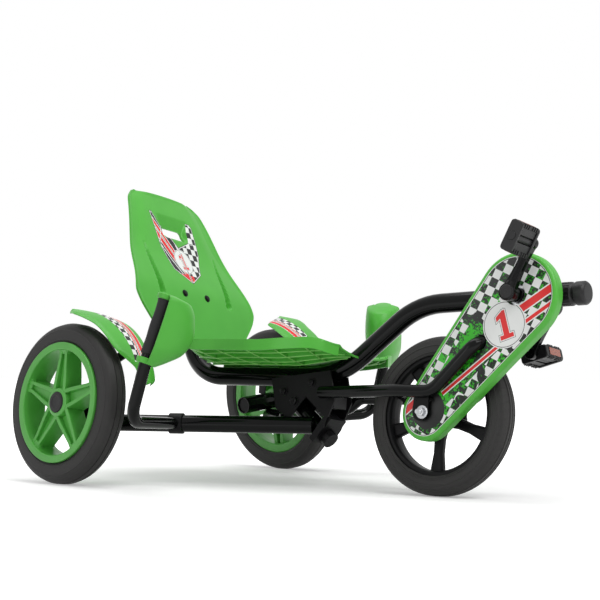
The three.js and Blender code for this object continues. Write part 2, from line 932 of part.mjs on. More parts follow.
function guardSpace(inset, back) {
  const face = guardFace - inset;
  return loft(
    [
      guardOutline(inset),
      guardOutline(inset),
      guardOutline(inset + guardRound / 3),
      guardOutline(guardRound),
    ],
    [-back, -face + guardRound, -face + guardRound / 3, -face],
  );
}

const rightFork = forks[0].path;

function chainGuard() {
  return cut(
    guardSpace(0, guardBack),
    guardSpace(guardWall, guardBack - overrun),
    rod(rightFork, forkRadius + runningGap),
    pin(crank, crankHole, -guardFace - overrun, -guardBack),
    pin(axle, axleRadius + runningGap, -guardFace - overrun, -guardBack),
  );
}
addPiece(neutral, 'chain_guard', greenPlastic, chainGuard());

function chainGuardBack() {
  const outline = guardOutline(guardWall);
  const outer = guardBack - seam;
  return cut(
    plate(outline, -outer, -outer + guardBackPlate),
    rod(rightFork, forkRadius + runningGap),
    pin(crank, crankHole, -outer - overrun, -outer + guardBackPlate + overrun),
    pin(axle, hubHole, -outer - overrun, -outer + guardBackPlate + overrun),
  );
}
addPiece(neutral, 'chain_guard_back', blackPlastic, chainGuardBack());

// Sprockets and chain
function toothedRing(teeth, bore) {
  const tip = pitchRadius(teeth) + toothHeight;
  const root = pitchRadius(teeth) - toothHeight;
  const outline = [];
  for (let i = 0; i < teeth; i += 1) {
    const angle = (2 * Math.PI * i) / teeth;
    const half = Math.PI / teeth;
    [[root, -half], [tip, -half / 3], [tip, half / 3]].forEach(([radius, turn]) => {
      outline.push(new THREE.Vector2(radius * Math.cos(angle + turn), radius * Math.sin(angle + turn)));
    });
  }
  const shape = new THREE.Shape(outline);
  shape.holes.push(new THREE.Path(circlePoints(bore, tubeSides)));
  const geometry = new THREE.ExtrudeGeometry(shape, { depth: toothWidth, bevelEnabled: false });
  return geometry.rotateX(Math.PI / 2).translate(0, toothWidth / 2, 0);
}

// The chain: one closed band just outside the tooth tips
function chainLoop() {
  const inner = toothHeight + runningGap;
  const ring = (extra, half) => plate(
    beltOutline(
      axle,
      pitchRadius(sprocketTeeth) + extra,
      crank,
      pitchRadius(chainringTeeth) + extra,
      chainCount,
      chainCount,
    ),
    -chainPlane - half,
    -chainPlane + half,
  );
  return cut(ring(inner + chainTall, chainWidth / 2), ring(inner, chainWidth / 2 + overrun));
}
addPiece(neutral, 'chain', brightSteel, chainLoop());

// Front wheel: black rim with five wide spokes, tyre, inner tube and hub sprocket
const frontWheel = new THREE.Group();
frontWheel.name = 'front_wheel';
frontWheel.position.copy(axle);
neutral.add(frontWheel);

const rimLip = 4;
const rimWall = 3;
const frontRimHalf = 20;
const frontHubRadius = 24;
const frontHubHalf = 33;
const frontSpokes = 5;
const frontSpokeWidth = 26;
const frontSpokeThickness = 16;
const spokeEmbed = 2;

function rimProfile(bead, inner, outer) {
  const seatRadius = bead - rimLip;
  const wellRadius = seatRadius - rimLip;
  return [
    [bead, outer],
    [bead, outer - rimWall],
    [seatRadius, outer - rimWall - rimLip],
    [wellRadius, (outer + inner) / 2],
    [seatRadius, inner + rimWall + rimLip],
    [bead, inner + rimWall],
    [bead, inner],
    [seatRadius - rimLip, inner],
    [wellRadius - rimWall, inner + rimWall + rimLip],
    [wellRadius - rimWall, outer - rimWall - rimLip],
    [seatRadius - rimLip, outer],
  ];
}

function spoke(width, thickness, from, to, turn, sideways, along) {
  const geometry = new THREE.BoxGeometry(to - from, thickness, width);
  geometry.translate((from + to) / 2, along, sideways);
  return geometry.rotateY(-turn);
}

// A rim is tested against the tyre's own bead, so it keeps a seam below it
function frontRim() {
  const bead = tyreSeat(frontTyreRadius, frontBeadRadius);
  const barrel = closedLathe(rimProfile(bead, -frontRimHalf, frontRimHalf));
  const hub = lathe([
    [0, -frontHubHalf],
    [frontHubRadius, -frontHubHalf],
    [frontHubRadius, frontHubHalf],
    [0, frontHubHalf],
  ], tubeSides * 2);
  const spokes = [];
  for (let i = 0; i < frontSpokes; i += 1) {
    const turn = (2 * Math.PI * i) / frontSpokes - Math.PI / 2;
    const end = bead - 2 * rimLip - spokeEmbed;
    spokes.push(spoke(frontSpokeWidth, frontSpokeThickness, frontHubRadius / 2, end, turn, 0, 0));
  }
  const bore = pin(new THREE.Vector3(), axleRadius + seam, -frontHubHalf - overrun, frontHubHalf + overrun);
  return cut(join(barrel, hub, ...spokes), bore);
}

// The radius at which the tyre's open edges stand, less a seam
function tyreSeat(tyreRadius, beadRadius) {
  const middle = (tyreRadius + beadRadius) / 2;
  const tall = tyreRadius - middle;
  return middle + tall * Math.cos(tyreOpenShare * Math.PI) - runningGap;
}

addPiece(frontWheel, 'front_tyre', rubber, closedLathe(frontProfile));
addPiece(frontWheel, 'front_inner_tube', rubber, innerTube(frontTyreRadius, frontTyreWidth, frontBeadRadius));
addPiece(frontWheel, 'front_rim', blackPlastic, frontRim());

function hubSprocket() {
  const carrier = lathe([
    [axleRadius + seam, -chainPlane - toothWidth],
    [frontHubRadius, -chainPlane - toothWidth],
    [frontHubRadius, -frontHubHalf - seam],
    [axleRadius + seam, -frontHubHalf - seam],
    [axleRadius + seam, -chainPlane - toothWidth],
  ], tubeSides * 2);
  const ring = toothedRing(sprocketTeeth, frontHubRadius - spokeEmbed).translate(0, -chainPlane, 0);
  return join(carrier, ring);
}
addPiece(frontWheel, 'hub_sprocket', brightSteel, hubSprocket());

// Crank group: spindle, chainring and two arms
const crankSet = new THREE.Group();
crankSet.name = 'crank';
crankSet.position.copy(crank);
neutral.add(crankSet);

const armThickness = 14;
const armClear = 19.5;
const armPlane = guardFace + armClear + armThickness / 2;
const armBossRadius = 17;
const armEndRadius = 12;
const armEndCount = 8;
const armInner = armPlane - armThickness / 2;
const spindleHalf = armPlane + armThickness / 2;
const ringHubRadius = 16;
const pedalPinRadius = 6;
const pedalStart = armPlane + armThickness / 2 + runningGap;
const pedalLength = 70;
const origin = new THREE.Vector3();

addPiece(crankSet, 'crank_spindle', brightSteel, pin(origin, spindleRadius, -spindleHalf, spindleHalf));

function crankArm(side, turn) {
  const end = new THREE.Vector3(crankLength * Math.cos(turn), 0, crankLength * Math.sin(turn));
  const outline = beltOutline(origin, armBossRadius, end, armEndRadius, armEndCount, armEndCount);
  const middle = side * armPlane;
  const from = middle - armThickness / 2;
  const to = middle + armThickness / 2;
  return cut(
    plate(outline, from, to),
    pin(origin, spindleRadius + seam, from - overrun, to + overrun),
    pin(end, pedalPinRadius + seam, from - overrun, to + overrun),
  );
}
addPiece(crankSet, 'crank_arm_right', blackPaint, crankArm(-1, crankTurn));
addPiece(crankSet, 'crank_arm_left', blackPaint, crankArm(1, crankTurn + Math.PI));

function chainring() {
  const hub = lathe([
    [spindleRadius + seam, -chainPlane - chainWidth],
    [ringHubRadius, -chainPlane - chainWidth],
    [ringHubRadius, -crankShellHalf - runningGap],
    [spindleRadius + seam, -crankShellHalf - runningGap],
    [spindleRadius + seam, -chainPlane - chainWidth],
  ], tubeSides);
  const ring = toothedRing(chainringTeeth, ringHubRadius - spokeEmbed).translate(0, -chainPlane, 0);
  return join(hub, ring);
}
addPiece(crankSet, 'chainring', brightSteel, chainring());

// Pedals: a body with two slots, free on a pin that is fixed in its arm
const pedalWidth = 60;
const pedalThickness = 28;
const pedalSlotLength = 50;
const pedalSlotWidth = 9;
const pedalSlotOffset = 17;
const pedalNearTilt = THREE.MathUtils.degToRad(66);
const pedalFarTilt = THREE.MathUtils.degToRad(17);
const pinEndGap = 4;

function pedalPin(side, turn) {
  const end = new THREE.Vector3(crankLength * Math.cos(turn), 0, crankLength * Math.sin(turn));
  const inner = side * armInner;
  const outer = side * (pedalStart + pedalLength - pinEndGap);
  return pin(end, pedalPinRadius, Math.min(inner, outer), Math.max(inner, outer));
}

function pedalBody(side) {
  const middle = side * (pedalStart + pedalLength / 2);
  const centre = new THREE.Vector3(0, middle, 0);
  const slots = [-1, 1].map((end) => {
    const place = new THREE.Vector3(end * pedalSlotOffset, middle, 0);
    return box(pedalSlotWidth, pedalSlotLength, pedalThickness + overrun, place);
  });
  const inner = side * (pedalStart - overrun);
  const outer = side * (pedalStart + pedalLength - pinEndGap + runningGap);
  return cut(
    box(pedalWidth, pedalLength, pedalThickness, centre),
    ...slots,
    pin(origin, pedalPinRadius + seam, Math.min(inner, outer), Math.max(inner, outer)),
  );
}

function addPedal(side, name, turn, tilt) {
  addPiece(crankSet, `pedal_pin_${name}`, brightSteel, pedalPin(side, turn));
  const pedal = new THREE.Group();
  pedal.name = `pedal_${name}_body`;
  pedal.position.set(crankLength * Math.cos(turn), 0, crankLength * Math.sin(turn));
  pedal.rotation.y = -tilt;
  crankSet.add(pedal);
  addPiece(pedal, `pedal_${name}`, blackPlastic, pedalBody(side));
}
addPedal(-1, 'right', crankTurn, pedalNearTilt);
addPedal(1, 'left', crankTurn + Math.PI, pedalFarTilt);

// Rear frame: a sleeve on the steering bolt, and two tubes in a V back to the wheels
const vRadius = 18;
const vWall = 2;
const vHeight = 130;
const vEndInset = 39;
const vEndForward = 5.4;
const vApexSetback = 256.5;
const vStartSetback = 300;
const vEndSetback = wheelbase - vEndForward;
const vSlope = (rearTrack / 2 - vEndInset) / (vEndSetback - vApexSetback);
const sleeveRadius = 17.5;

function vPoint(side, setback) {
  return new THREE.Vector3(-setback, side * (setback - vApexSetback) * vSlope, vHeight);
}

function pivotSleeve() {
  const body = alongBolt(sleeveRadius, -sleeveLow, sleeveHigh);
  const bore = alongBolt(boltRadius + seam, -sleeveLow - overrun, sleeveHigh + overrun);
  return cut(body, bore);
}
addPiece(rearFrame, 'steering_sleeve', blackPaint, pivotSleeve());

// Stub axles: short tubes that tip with the camber, each with its wheel spindle
const stubRadius = 20;
const stubWall = 2;
const stubInset = 124;
const wheelInnerGap = 4;
const rearRimInner = 25;
const rearRimOuter = 32.6;
const rearHubRadius = 30;
const capDiscRadius = 23;
const capDiscThickness = 4;
const rearSpindleRadius = 6;

const sides = [
  { side: -1, name: 'right' },
  { side: 1, name: 'left' },
];

function wheelCentre(side) {
  return new THREE.Vector3(-wheelbase, (side * rearTrack) / 2, rearStanding);
}

// Outward along the wheel axis: it rises with the camber
function wheelOutward(side) {
  return new THREE.Vector3(0, side * Math.cos(rearCamber), Math.sin(rearCamber));
}

function alongWheelAxis(side, distance) {
  return wheelCentre(side).addScaledVector(wheelOutward(side), distance);
}

const stubStart = stubInset / Math.cos(rearCamber);
const stubEnd = rearRimInner + wheelInnerGap;

function stubSpace(side, gap) {
  const inner = alongWheelAxis(side, -stubStart - gap);
  return rod(line(inner, alongWheelAxis(side, -stubEnd)), stubRadius + gap);
}

function stubAxle(side) {
  const inner = alongWheelAxis(side, -stubStart);
  const outer = alongWheelAxis(side, -stubEnd);
  return tube(line(inner, outer), stubRadius, stubWall);
}

function wheelSpindle(side) {
  const inner = alongWheelAxis(side, -stubStart + plugLip);
  const plugEnd = alongWheelAxis(side, -stubStart + plugLip + plugLength);
  const outer = alongWheelAxis(side, rearRimOuter - capDiscThickness * 2);
  const plug = rod(line(inner, plugEnd), boreFit(stubRadius, stubWall));
  return join(rod(line(inner, outer), rearSpindleRadius), plug);
}

// Each V tube is coped round the sleeve and the stub axle, and keeps to its side of the middle
function vTube(side) {
  const path = line(vPoint(side, vStartSetback), vPoint(side, vEndSetback));
  const sleeveSpace = alongBolt(sleeveRadius + seam, -sleeveLow - overrun, sleeveHigh + overrun);
  const reach = vEndSetback * 2;
  const ownSide = box(reach, reach, reach, new THREE.Vector3(0, side * (reach / 2 + seam), 0));
  return common(cut(tube(path, vRadius, vWall), sleeveSpace, stubSpace(side, seam)), ownSide);
}

sides.forEach(({ side, name }) => {
  addPiece(rearFrame, `rear_tube_${name}`, blackPaint, vTube(side));
  addPiece(rearFrame, `stub_axle_${name}`, blackPaint, stubAxle(side));
  addPiece(rearFrame, `wheel_spindle_${name}`, brightSteel, wheelSpindle(side));
});

// Steering levers: out from a clamp on the V tube, then up to the hand
const leverRadius = 12.5;
const leverWall = 1.8;
const clampSetback = 544;
const clampRadius = 22;
const clampHalf = 15;
const leverBendSetback = 466;
const leverBendHalfSpread = 371;
const leverBendHeight = 141;
const leverRingSetback = 426;
const leverRingHalfSpread = 365;
const leverRingHeight = 263.5;
const leverTopSetback = 402;
const leverTopHalfSpread = 331;
const leverTopHeight = 392;
const leverBend = 42;
const leverWristBend = 120;

function leverCorners(side) {
  const root = vPoint(side, clampSetback);
  const elbow = new THREE.Vector3(-leverBendSetback, side * leverBendHalfSpread, leverBendHeight);
  const start = elbow.clone().sub(root).setLength(vRadius).add(root);
  const wrist = new THREE.Vector3(-leverRingSetback, side * leverRingHalfSpread, leverRingHeight);
  const top = new THREE.Vector3(-leverTopSetback, side * leverTopHalfSpread, leverTopHeight);
  return [start, elbow, wrist, top];
}

function leverPath(side) {
  return new BentPath(leverCorners(side), [leverBend, leverWristBend]);
}

function aroundVTube(side, radius, half) {
  const root = vPoint(side, clampSetback);
  const along = vPoint(side, vEndSetback).sub(root).normalize();
  const start = root.clone().addScaledVector(along, -half);
  return rod(line(start, root.clone().addScaledVector(along, half)), radius);
}

function leverClamp(side) {
  const ring = aroundVTube(side, clampRadius, clampHalf);
  return cut(ring, aroundVTube(side, vRadius + seam, clampHalf + overrun));
}

function steeringLever(side) {
  return cut(
    tube(leverPath(side), leverRadius, leverWall),
    aroundVTube(side, clampRadius + seam, clampHalf + overrun),
  );
}

// Grips: sleeves over the upper end of each lever
const gripRadius = 16;
const gripStart = 12;
const gripEnd = 4;

function gripFrame(side) {
  const [, , wrist, top] = leverCorners(side);
  const axis = top.clone().sub(wrist);
  const length = axis.length();
  axis.normalize();
  const forward = new THREE.Vector3(1, 0, 0).addScaledVector(axis, -axis.x).normalize();
  const sideways = axis.clone().cross(forward).multiplyScalar(side);
  return { wrist, axis, length, forward, sideways };
}

function grip(side) {
  const { axis } = gripFrame(side);
  const path = leverPath(side);
  const [, , wrist, top] = leverCorners(side);
  const start = wrist.clone().addScaledVector(axis, gripStart);
  const end = top.clone().addScaledVector(axis, -gripEnd);
  const bore = rod(path, leverRadius + seam);
  return cut(rod(line(start, end), gripRadius), bore);
}

// Hand guards: a D shaped bowl in front of each grip and inboard of it, open to the rear and outside
const bowlReach = 75;
const bowlHalfWidth = 38;
const bowlTurn = THREE.MathUtils.degToRad(62);
const bowlWall = 3;
const bowlCollar = 18.5;
const bowlColumns = 8;
const bowlRows = 8;
const bowlReachShares = [
  [0, 0.25],
  [0.1, 0.5],
  [0.3, 0.88],
  [0.5, 1],
  [0.75, 0.9],
  [0.96, 0.66],
  [1, 0.25],
];
const bowlWidthShares = [
  [0, 0.5],
  [0.1, 0.72],
  [0.3, 0.95],
  [0.6, 1],
  [0.96, 0.9],
  [1, 0.5],
];
const bowlBottomDrop = 6;

function bowlSurface(side, inset) {
  const { wrist, axis, length, forward, sideways } = gripFrame(side);
  const cosine = Math.cos(bowlTurn);
  const sine = Math.sin(bowlTurn);
  const middle = forward.clone().multiplyScalar(cosine).addScaledVector(sideways, -sine);
  const rim = sideways.clone().multiplyScalar(cosine).addScaledVector(forward, sine);
  return (u, v) => {
    const angle = Math.PI * (u - 0.5);
    const reach = Math.max(bowlReach * fromTable(bowlReachShares, v), bowlCollar) - inset;
    const wide = Math.max(bowlHalfWidth * fromTable(bowlWidthShares, v), bowlCollar) - inset;
    const along = -bowlBottomDrop + inset + (length + bowlBottomDrop - 2 * inset) * v;
    const point = wrist.clone().addScaledVector(axis, along);
    point.addScaledVector(middle, reach * Math.cos(angle));
    return point.addScaledVector(rim, wide * Math.sin(angle));
  };
}

function handGuard(side) {
  return shell(bowlSurface(side, 0), bowlSurface(side, bowlWall), bowlColumns, bowlRows);
}

sides.forEach(({ side, name }) => {
  addPiece(rearFrame, `lever_clamp_${name}`, blackPaint, leverClamp(side));
  addPiece(rearFrame, `steering_lever_${name}`, blackPaint, steeringLever(side));
  addPiece(rearFrame, `grip_${name}`, rubber, grip(side));
  addPiece(rearFrame, `hand_guard_${name}`, greenPlastic, handGuard(side));
});

// Mudguards: a strip of shell over the front and top of each rear tyre
const mudguardGap = 22;
const mudguardThickness = 3;
const mudguardInner = 80;
const mudguardCrown = 6;
const mudguardColumns = 5;
const mudguardRows = 10;
const mudguardStart = THREE.MathUtils.degToRad(15);
const mudguardEnd = THREE.MathUtils.degToRad(88);
const mudguardOuterShares = [
  [0, 0.72],
  [0.06, 0.48],
  [0.14, 0.41],
  [0.22, 0.15],
  [0.3, -0.1],
  [0.4, -0.2],
  [0.62, -0.27],
  [0.74, -0.4],
  [0.85, -0.48],
  [1, -0.25],
];
const mudguardInnerShares = [
  [0, 0.82],
  [0.05, 0.97],
  [0.6, 1],
  [0.82, 0.86],
  [1, -0.15],
];

// A point round the wheel: angle from straight ahead, radius, and distance inboard of the wheel
function aroundWheel(side, angle, radius, inboard) {
  const outward = wheelOutward(side);
  const upright = new THREE.Vector3(1, 0, 0).cross(outward).multiplyScalar(side);
  const point = wheelCentre(side).addScaledVector(outward, -inboard);
  point.x += radius * Math.cos(angle);
  return point.addScaledVector(upright, radius * Math.sin(angle));
}

function mudguardSurface(side, inset) {
  return (u, v) => {
    const outer = mudguardInner * fromTable(mudguardOuterShares, v);
    const inner = mudguardInner * fromTable(mudguardInnerShares, v);
    const reach = 2 * u - 1;
    const radius = rearTyreRadius + mudguardGap + mudguardCrown * (1 - reach * reach) - inset;
    const angle = mudguardStart + (mudguardEnd - mudguardStart) * v;
    return aroundWheel(side, angle, radius, outer + (inner - outer) * u);
  };
}

function mudguard(side) {
  return shell(
    mudguardSurface(side, 0),
    mudguardSurface(side, mudguardThickness),
    mudguardColumns,
    mudguardRows,
  );
}

// Stays: flat straps from the stub axles up to the mudguards
const stayWidth = 20;
const stayThickness = 4;
const stayInboard = 62;
const stayFootAngle = THREE.MathUtils.degToRad(80);
const stayHeadAngle = THREE.MathUtils.degToRad(44);
const stayBendShare = 0.45;

function mudguardStay(side) {
  const foot = aroundWheel(side, stayFootAngle, stubRadius + seam, stayInboard);
  const under = rearTyreRadius + mudguardGap - mudguardThickness - 2 * seam;
  const head = aroundWheel(side, stayHeadAngle, under, stayInboard);
  const middle = aroundWheel(side, stayFootAngle, rearTyreRadius * stayBendShare, stayInboard);
  const half = new THREE.Vector2(stayThickness / 2, stayWidth / 2);
  const shape = new THREE.Shape([
    new THREE.Vector2(-half.x, -half.y),
    new THREE.Vector2(half.x, -half.y),
    half,
    new THREE.Vector2(-half.x, half.y),
  ]);
  return sweep(shape, new BentPath([foot, middle, head], [stayWidth]));
}

sides.forEach(({ side, name }) => {
  addPiece(rearFrame, `mudguard_${name}`, greenPlastic, mudguard(side));
  addPiece(rearFrame, `mudguard_stay_${name}`, blackPaint, mudguardStay(side));
});

// Rear wheels: green rims with five twin spokes, tyres, inner tubes and hub caps
const rearSpokes = 5;
const rearSpokeWidth = 10;
const rearSpokeSpread = 12;
const rearSpokeThickness = 42;
const rearSpokeFace = 27;

function rearRim() {
  const bead = tyreSeat(rearTyreRadius, rearBeadRadius);
  const barrel = closedLathe(rimProfile(bead, -rearRimInner, rearRimOuter));
  const hub = lathe([
    [0, -rearRimInner],
    [rearHubRadius, -rearRimInner],
    [rearHubRadius, rearSpokeFace],
    [0, rearSpokeFace],
  ], tubeSides * 2);
  const spokes = [];
  const end = bead - 2 * rimLip - spokeEmbed;
  const along = rearSpokeFace - rearSpokeThickness / 2;
  for (let i = 0; i < rearSpokes; i += 1) {
    const turn = Math.PI / 2 + (2 * Math.PI * i) / rearSpokes;
    [-1, 1].forEach((pair) => {
      const sideways = pair * rearSpokeSpread;
      const from = rearHubRadius / 2;
      spokes.push(spoke(rearSpokeWidth, rearSpokeThickness, from, end, turn, sideways, along));
    });
  }
  const bore = pin(origin, rearSpindleRadius + seam, -rearRimInner - overrun, rearSpokeFace + overrun);
  return cut(join(barrel, hub, ...spokes), bore);
}

function hubCap() {
  return lathe([
    [0, rearSpokeFace + seam],
    [capDiscRadius, rearSpokeFace + seam],
    [capDiscRadius, rearSpokeFace + capDiscThickness / 2],
    [capDiscRadius - capDiscThickness / 2, rearSpokeFace + capDiscThickness],
    [0, rearSpokeFace + capDiscThickness],
  ], tubeSides * 2);
}

sides.forEach(({ side, name }) => {
  const wheel = new THREE.Group();
  wheel.name = `rear_wheel_${name}`;
  wheel.position.copy(wheelCentre(side));
  wheel.quaternion.setFromUnitVectors(across, wheelOutward(side));
  rearFrame.add(wheel);
  addPiece(wheel, `rear_tyre_${name}`, rubber, closedLathe(rearProfile));
  const rearInnerTube = innerTube(rearTyreRadius, rearTyreWidth, rearBeadRadius);
  addPiece(wheel, `rear_inner_tube_${name}`, rubber, rearInnerTube);
  addPiece(wheel, `rear_rim_${name}`, greenPlastic, rearRim());
  addPiece(wheel, `hub_cap_${name}`, blackPlastic, hubCap());
});

// The origin is under the middle of the kart, on the floor
kart.updateMatrixWorld(true);
const bounds = new THREE.Box3().setFromObject(kart, true);
const middle = bounds.getCenter(new THREE.Vector3());
kart.position.set(-middle.x, -middle.y, -bounds.min.z);
kart.updateMatrixWorld(true);

export default kart;
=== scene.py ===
import bpy
import bmesh
import math
from mathutils import Matrix, Vector


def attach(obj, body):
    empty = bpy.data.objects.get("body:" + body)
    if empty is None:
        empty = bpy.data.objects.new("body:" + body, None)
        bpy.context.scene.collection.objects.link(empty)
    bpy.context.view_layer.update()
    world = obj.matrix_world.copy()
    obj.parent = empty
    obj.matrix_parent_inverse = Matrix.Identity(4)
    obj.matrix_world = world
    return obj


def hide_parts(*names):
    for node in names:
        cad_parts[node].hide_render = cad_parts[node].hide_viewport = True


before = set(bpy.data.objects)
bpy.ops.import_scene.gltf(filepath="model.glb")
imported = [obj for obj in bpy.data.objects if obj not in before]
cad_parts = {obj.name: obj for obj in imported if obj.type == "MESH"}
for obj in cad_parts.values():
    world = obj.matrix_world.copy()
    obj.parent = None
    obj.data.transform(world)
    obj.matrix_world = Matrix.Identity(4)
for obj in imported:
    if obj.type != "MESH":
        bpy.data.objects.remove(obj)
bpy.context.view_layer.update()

MM = 0.001
SIDES = (("right", -1), ("left", 1))

# Places of the two frames: the front frame is turned on the steering bolt
PIVOT = Vector((-325, 0, 148))
BOLT = PIVOT * MM
BOLT_ROW = Vector((-27.226, 0, 148)) * MM
BOLT_AXIS = Vector((-0.788011, 0, 0.615661))
REST_TURN = math.radians(9.56)
REAR = Matrix.Translation(BOLT_ROW - BOLT)
FRONT = (
    Matrix.Translation(BOLT_ROW)
    @ Matrix.Rotation(REST_TURN, 4, BOLT_AXIS)
    @ Matrix.Translation(-BOLT)
)


def facing(origin, axis, along=(1, 0, 0)):
    """A place in millimetres whose Z points along an axis and whose X leans towards another."""
    z = Vector(axis).normalized()
    x = Vector(along)
    x = (x - z * x.dot(z)).normalized()
    turn = Matrix((x, z.cross(x), z)).transposed().to_4x4()
    return Matrix.Translation(Vector(origin)) @ turn


def metres(place):
    """The same place with its origin in metres."""
    place = place.copy()
    place.translation *= MM
    return place


# Numbers


def mix(a, b, share):
    return a + (b - a) * share


def clamp(x, low=0.0, high=1.0):
    return min(max(x, low), high)


def smooth(x):
    x = clamp(x)
    return x * x * (3 - 2 * x)


def curve(points):
    """A smooth curve through points that never overshoots them."""
    xs, ys = zip(*points)
    steps = [(ys[i + 1] - ys[i]) / (xs[i + 1] - xs[i]) for i in range(len(xs) - 1)]
    inner = [0 if a * b <= 0 else 2 * a * b / (a + b) for a, b in zip(steps, steps[1:])]
    slopes = [steps[0], *inner, steps[-1]]

    def value(x):
        x = clamp(x, xs[0], xs[-1])
        i = max(k for k in range(len(xs) - 1) if xs[k] <= x)
        wide = xs[i + 1] - xs[i]
        t = (x - xs[i]) / wide
        rise = ys[i] * (1 + 2 * t) * (1 - t) ** 2 + ys[i + 1] * t * t * (3 - 2 * t)
        return rise + wide * (slopes[i] * t * (1 - t) ** 2 + slopes[i + 1] * t * t * (t - 1))

    return value


# Forms: lists of corners in millimetres with their faces


def join(*forms):
    corners, faces = [], []
    for points, polygons in forms:
        base = len(corners)
        corners += points
        faces += [[base + i for i in polygon] for polygon in polygons]
    return corners, faces


def placed(form, place):
    points, faces = form
    return [place @ Vector(p) for p in points], faces


def lattice(rows, round_rows=False, round_columns=False, caps=False):
    """Faces between rows of points."""
    n, m = len(rows), len(rows[0])
    faces = []
    for i in range(n if round_rows else n - 1):
        for j in range(m if round_columns else m - 1):
            a, b = i, (i + 1) % n
            c, d = j, (j + 1) % m
            faces.append([a * m + c, a * m + d, b * m + d, b * m + c])
    if caps:
        faces += [list(range(m))[::-1], [(n - 1) * m + j for j in range(m)]]
    return [Vector(p) for row in rows for p in row], faces


def rounded(points, radius, steps=4, closed=True):
    """A flat outline with its corners rounded; the radius is one number or one for each corner."""
    n = len(points)
    radii = radius if isinstance(radius, (list, tuple)) else [radius] * n
    made = []
    for i in range(n):
        here = Vector(points[i])
        if radii[i] <= 0 or (not closed and i in (0, n - 1)):
            made.append(here)
            continue
        before = Vector(points[i - 1]) - here
        after = Vector(points[(i + 1) % n]) - here
        corner = before.angle(after, math.pi)
        if corner > math.radians(178):
            made.append(here)
            continue
        reach = min(radii[i] / math.tan(corner / 2), before.length * 0.48, after.length * 0.48)
        first, last = here + before.normalized() * reach, here + after.normalized() * reach
        for k in range(steps + 1):
            t = k / steps
            made.append(first * (1 - t) ** 2 + here * 2 * t * (1 - t) + last * t * t)
    return made


def circle(count, radius):
    """Points evenly round a circle, from X towards Y."""
    turns = [math.tau * i / count for i in range(count)]
    return [(radius * math.cos(turn), radius * math.sin(turn)) for turn in turns]


def lathe(profile, count=96, cut=None):
    """A closed outline of (radius, height) turned round Z, less a depth that may differ at each step."""
    rows = []
    for i in range(count):
        turn = math.tau * i / count
        radii = [r - (cut(i, r, h) if cut else 0) for r, h in profile]
        rows.append([(r * math.cos(turn), r * math.sin(turn), h) for r, (_, h) in zip(radii, profile)])
    return lattice(rows, round_rows=True, round_columns=True)


def turned(profile, count=48):
    """An open outline of (radius, height) that starts and ends on the axis, turned round Z."""
    inner = profile[1:-1]
    rings = [[(x, y, h) for x, y in circle(count, r)] for r, h in inner]
    points, faces = lattice(rings, round_columns=True)
    points += [Vector((0, 0, profile[0][1])), Vector((0, 0, profile[-1][1]))]
    top = (len(inner) - 1) * count
    for i in range(count):
        j = (i + 1) % count
        faces += [[len(points) - 2, j, i], [len(points) - 1, top + i, top + j]]
    return points, faces


def disc(radius, low, high, edge=1.0, count=48):
    """A round solid with softened rims."""
    outline = [(0, low), (radius, low), (radius, high), (0, high)]
    return turned(rounded(outline, [0, edge, edge, 0], 4, False), count)


def hexagon(radius, low, high, edge=1.0):
    """A nut or bolt head: six flats with their corners turned down."""
    narrow, drop = 1 - edge / radius, edge * 0.6
    levels = [(low, narrow), (low + drop, 1), (high - drop, 1), (high, narrow)]
    rows = [[(x, y, height) for x, y in circle(6, radius * share)] for height, share in levels]
    return lattice(rows, round_columns=True, caps=True)


def block(x, y, z, centre=(0, 0, 0)):
    rows = [[(centre[0] + a * x / 2, centre[1] + b * y / 2, centre[2] + c * z / 2)
             for a, b in ((-1, -1), (1, -1), (1, 1), (-1, 1))] for c in (-1, 1)]
    return lattice(rows, round_columns=True, caps=True)


def bent(corners, bends, step=math.radians(6)):
    """The centre line of a tube: straight runs joined by arcs."""
    points = [Vector(corners[0])]
    for before, here, after, radius in zip(corners, corners[1:], corners[2:], bends):
        here = Vector(here)
        a, b = (Vector(before) - here).normalized(), (Vector(after) - here).normalized()
        corner = a.angle(b)
        if corner > math.radians(179):
            continue
        reach = radius / math.tan(corner / 2)
        middle = here + (a + b).normalized() * radius / math.sin(corner / 2)
        start = here + a * reach - middle
        axis = start.cross(here + b * reach - middle).normalized()
        turn = math.pi - corner
        count = max(3, math.ceil(turn / step))
        for k in range(count + 1):
            points.append(middle + Matrix.Rotation(turn * k / count, 3, axis) @ start)
    return points + [Vector(corners[-1])]


def tube(path, radius, sides=28, edge=1.2):
    """A round bar or tube along a line, its ends softly rounded; the radius may change on the way."""
    size = radius if callable(radius) else (lambda share: radius)
    final = len(path) - 1
    tangents = [(path[min(i + 1, final)] - path[max(i - 1, 0)]).normalized() for i in range(final + 1)]
    lengths = [0.0]
    for a, b in zip(path, path[1:]):
        lengths.append(lengths[-1] + (b - a).length)
    side = tangents[0].orthogonal().normalized()
    stations = []
    for i, point in enumerate(path):
        side = (side - tangents[i] * side.dot(tangents[i])).normalized()
        share = lengths[i] / lengths[-1]
        stations.append((point, side.copy(), tangents[i].cross(side), size(share)))
    first, last = stations[0], stations[-1]
    head = [(*first[:3], first[3] - edge), (first[0] + tangents[0] * edge, *first[1:])]
    tail = [(last[0] - tangents[-1] * edge, *last[1:]), (*last[:3], last[3] - edge)]
    turns = [math.tau * k / sides for k in range(sides)]
    rows = []
    for point, across, up, reach in [*head, *stations[1:-1], *tail]:
        rows.append([point + across * reach * math.cos(t) + up * reach * math.sin(t) for t in turns])
    return lattice(rows, round_columns=True, caps=True)


def bar(start, end, radius, sides=28, edge=1.2):
    start, end = Vector(start), Vector(end)
    return tube([start, mix(start, end, 0.5), end], radius, sides, edge)


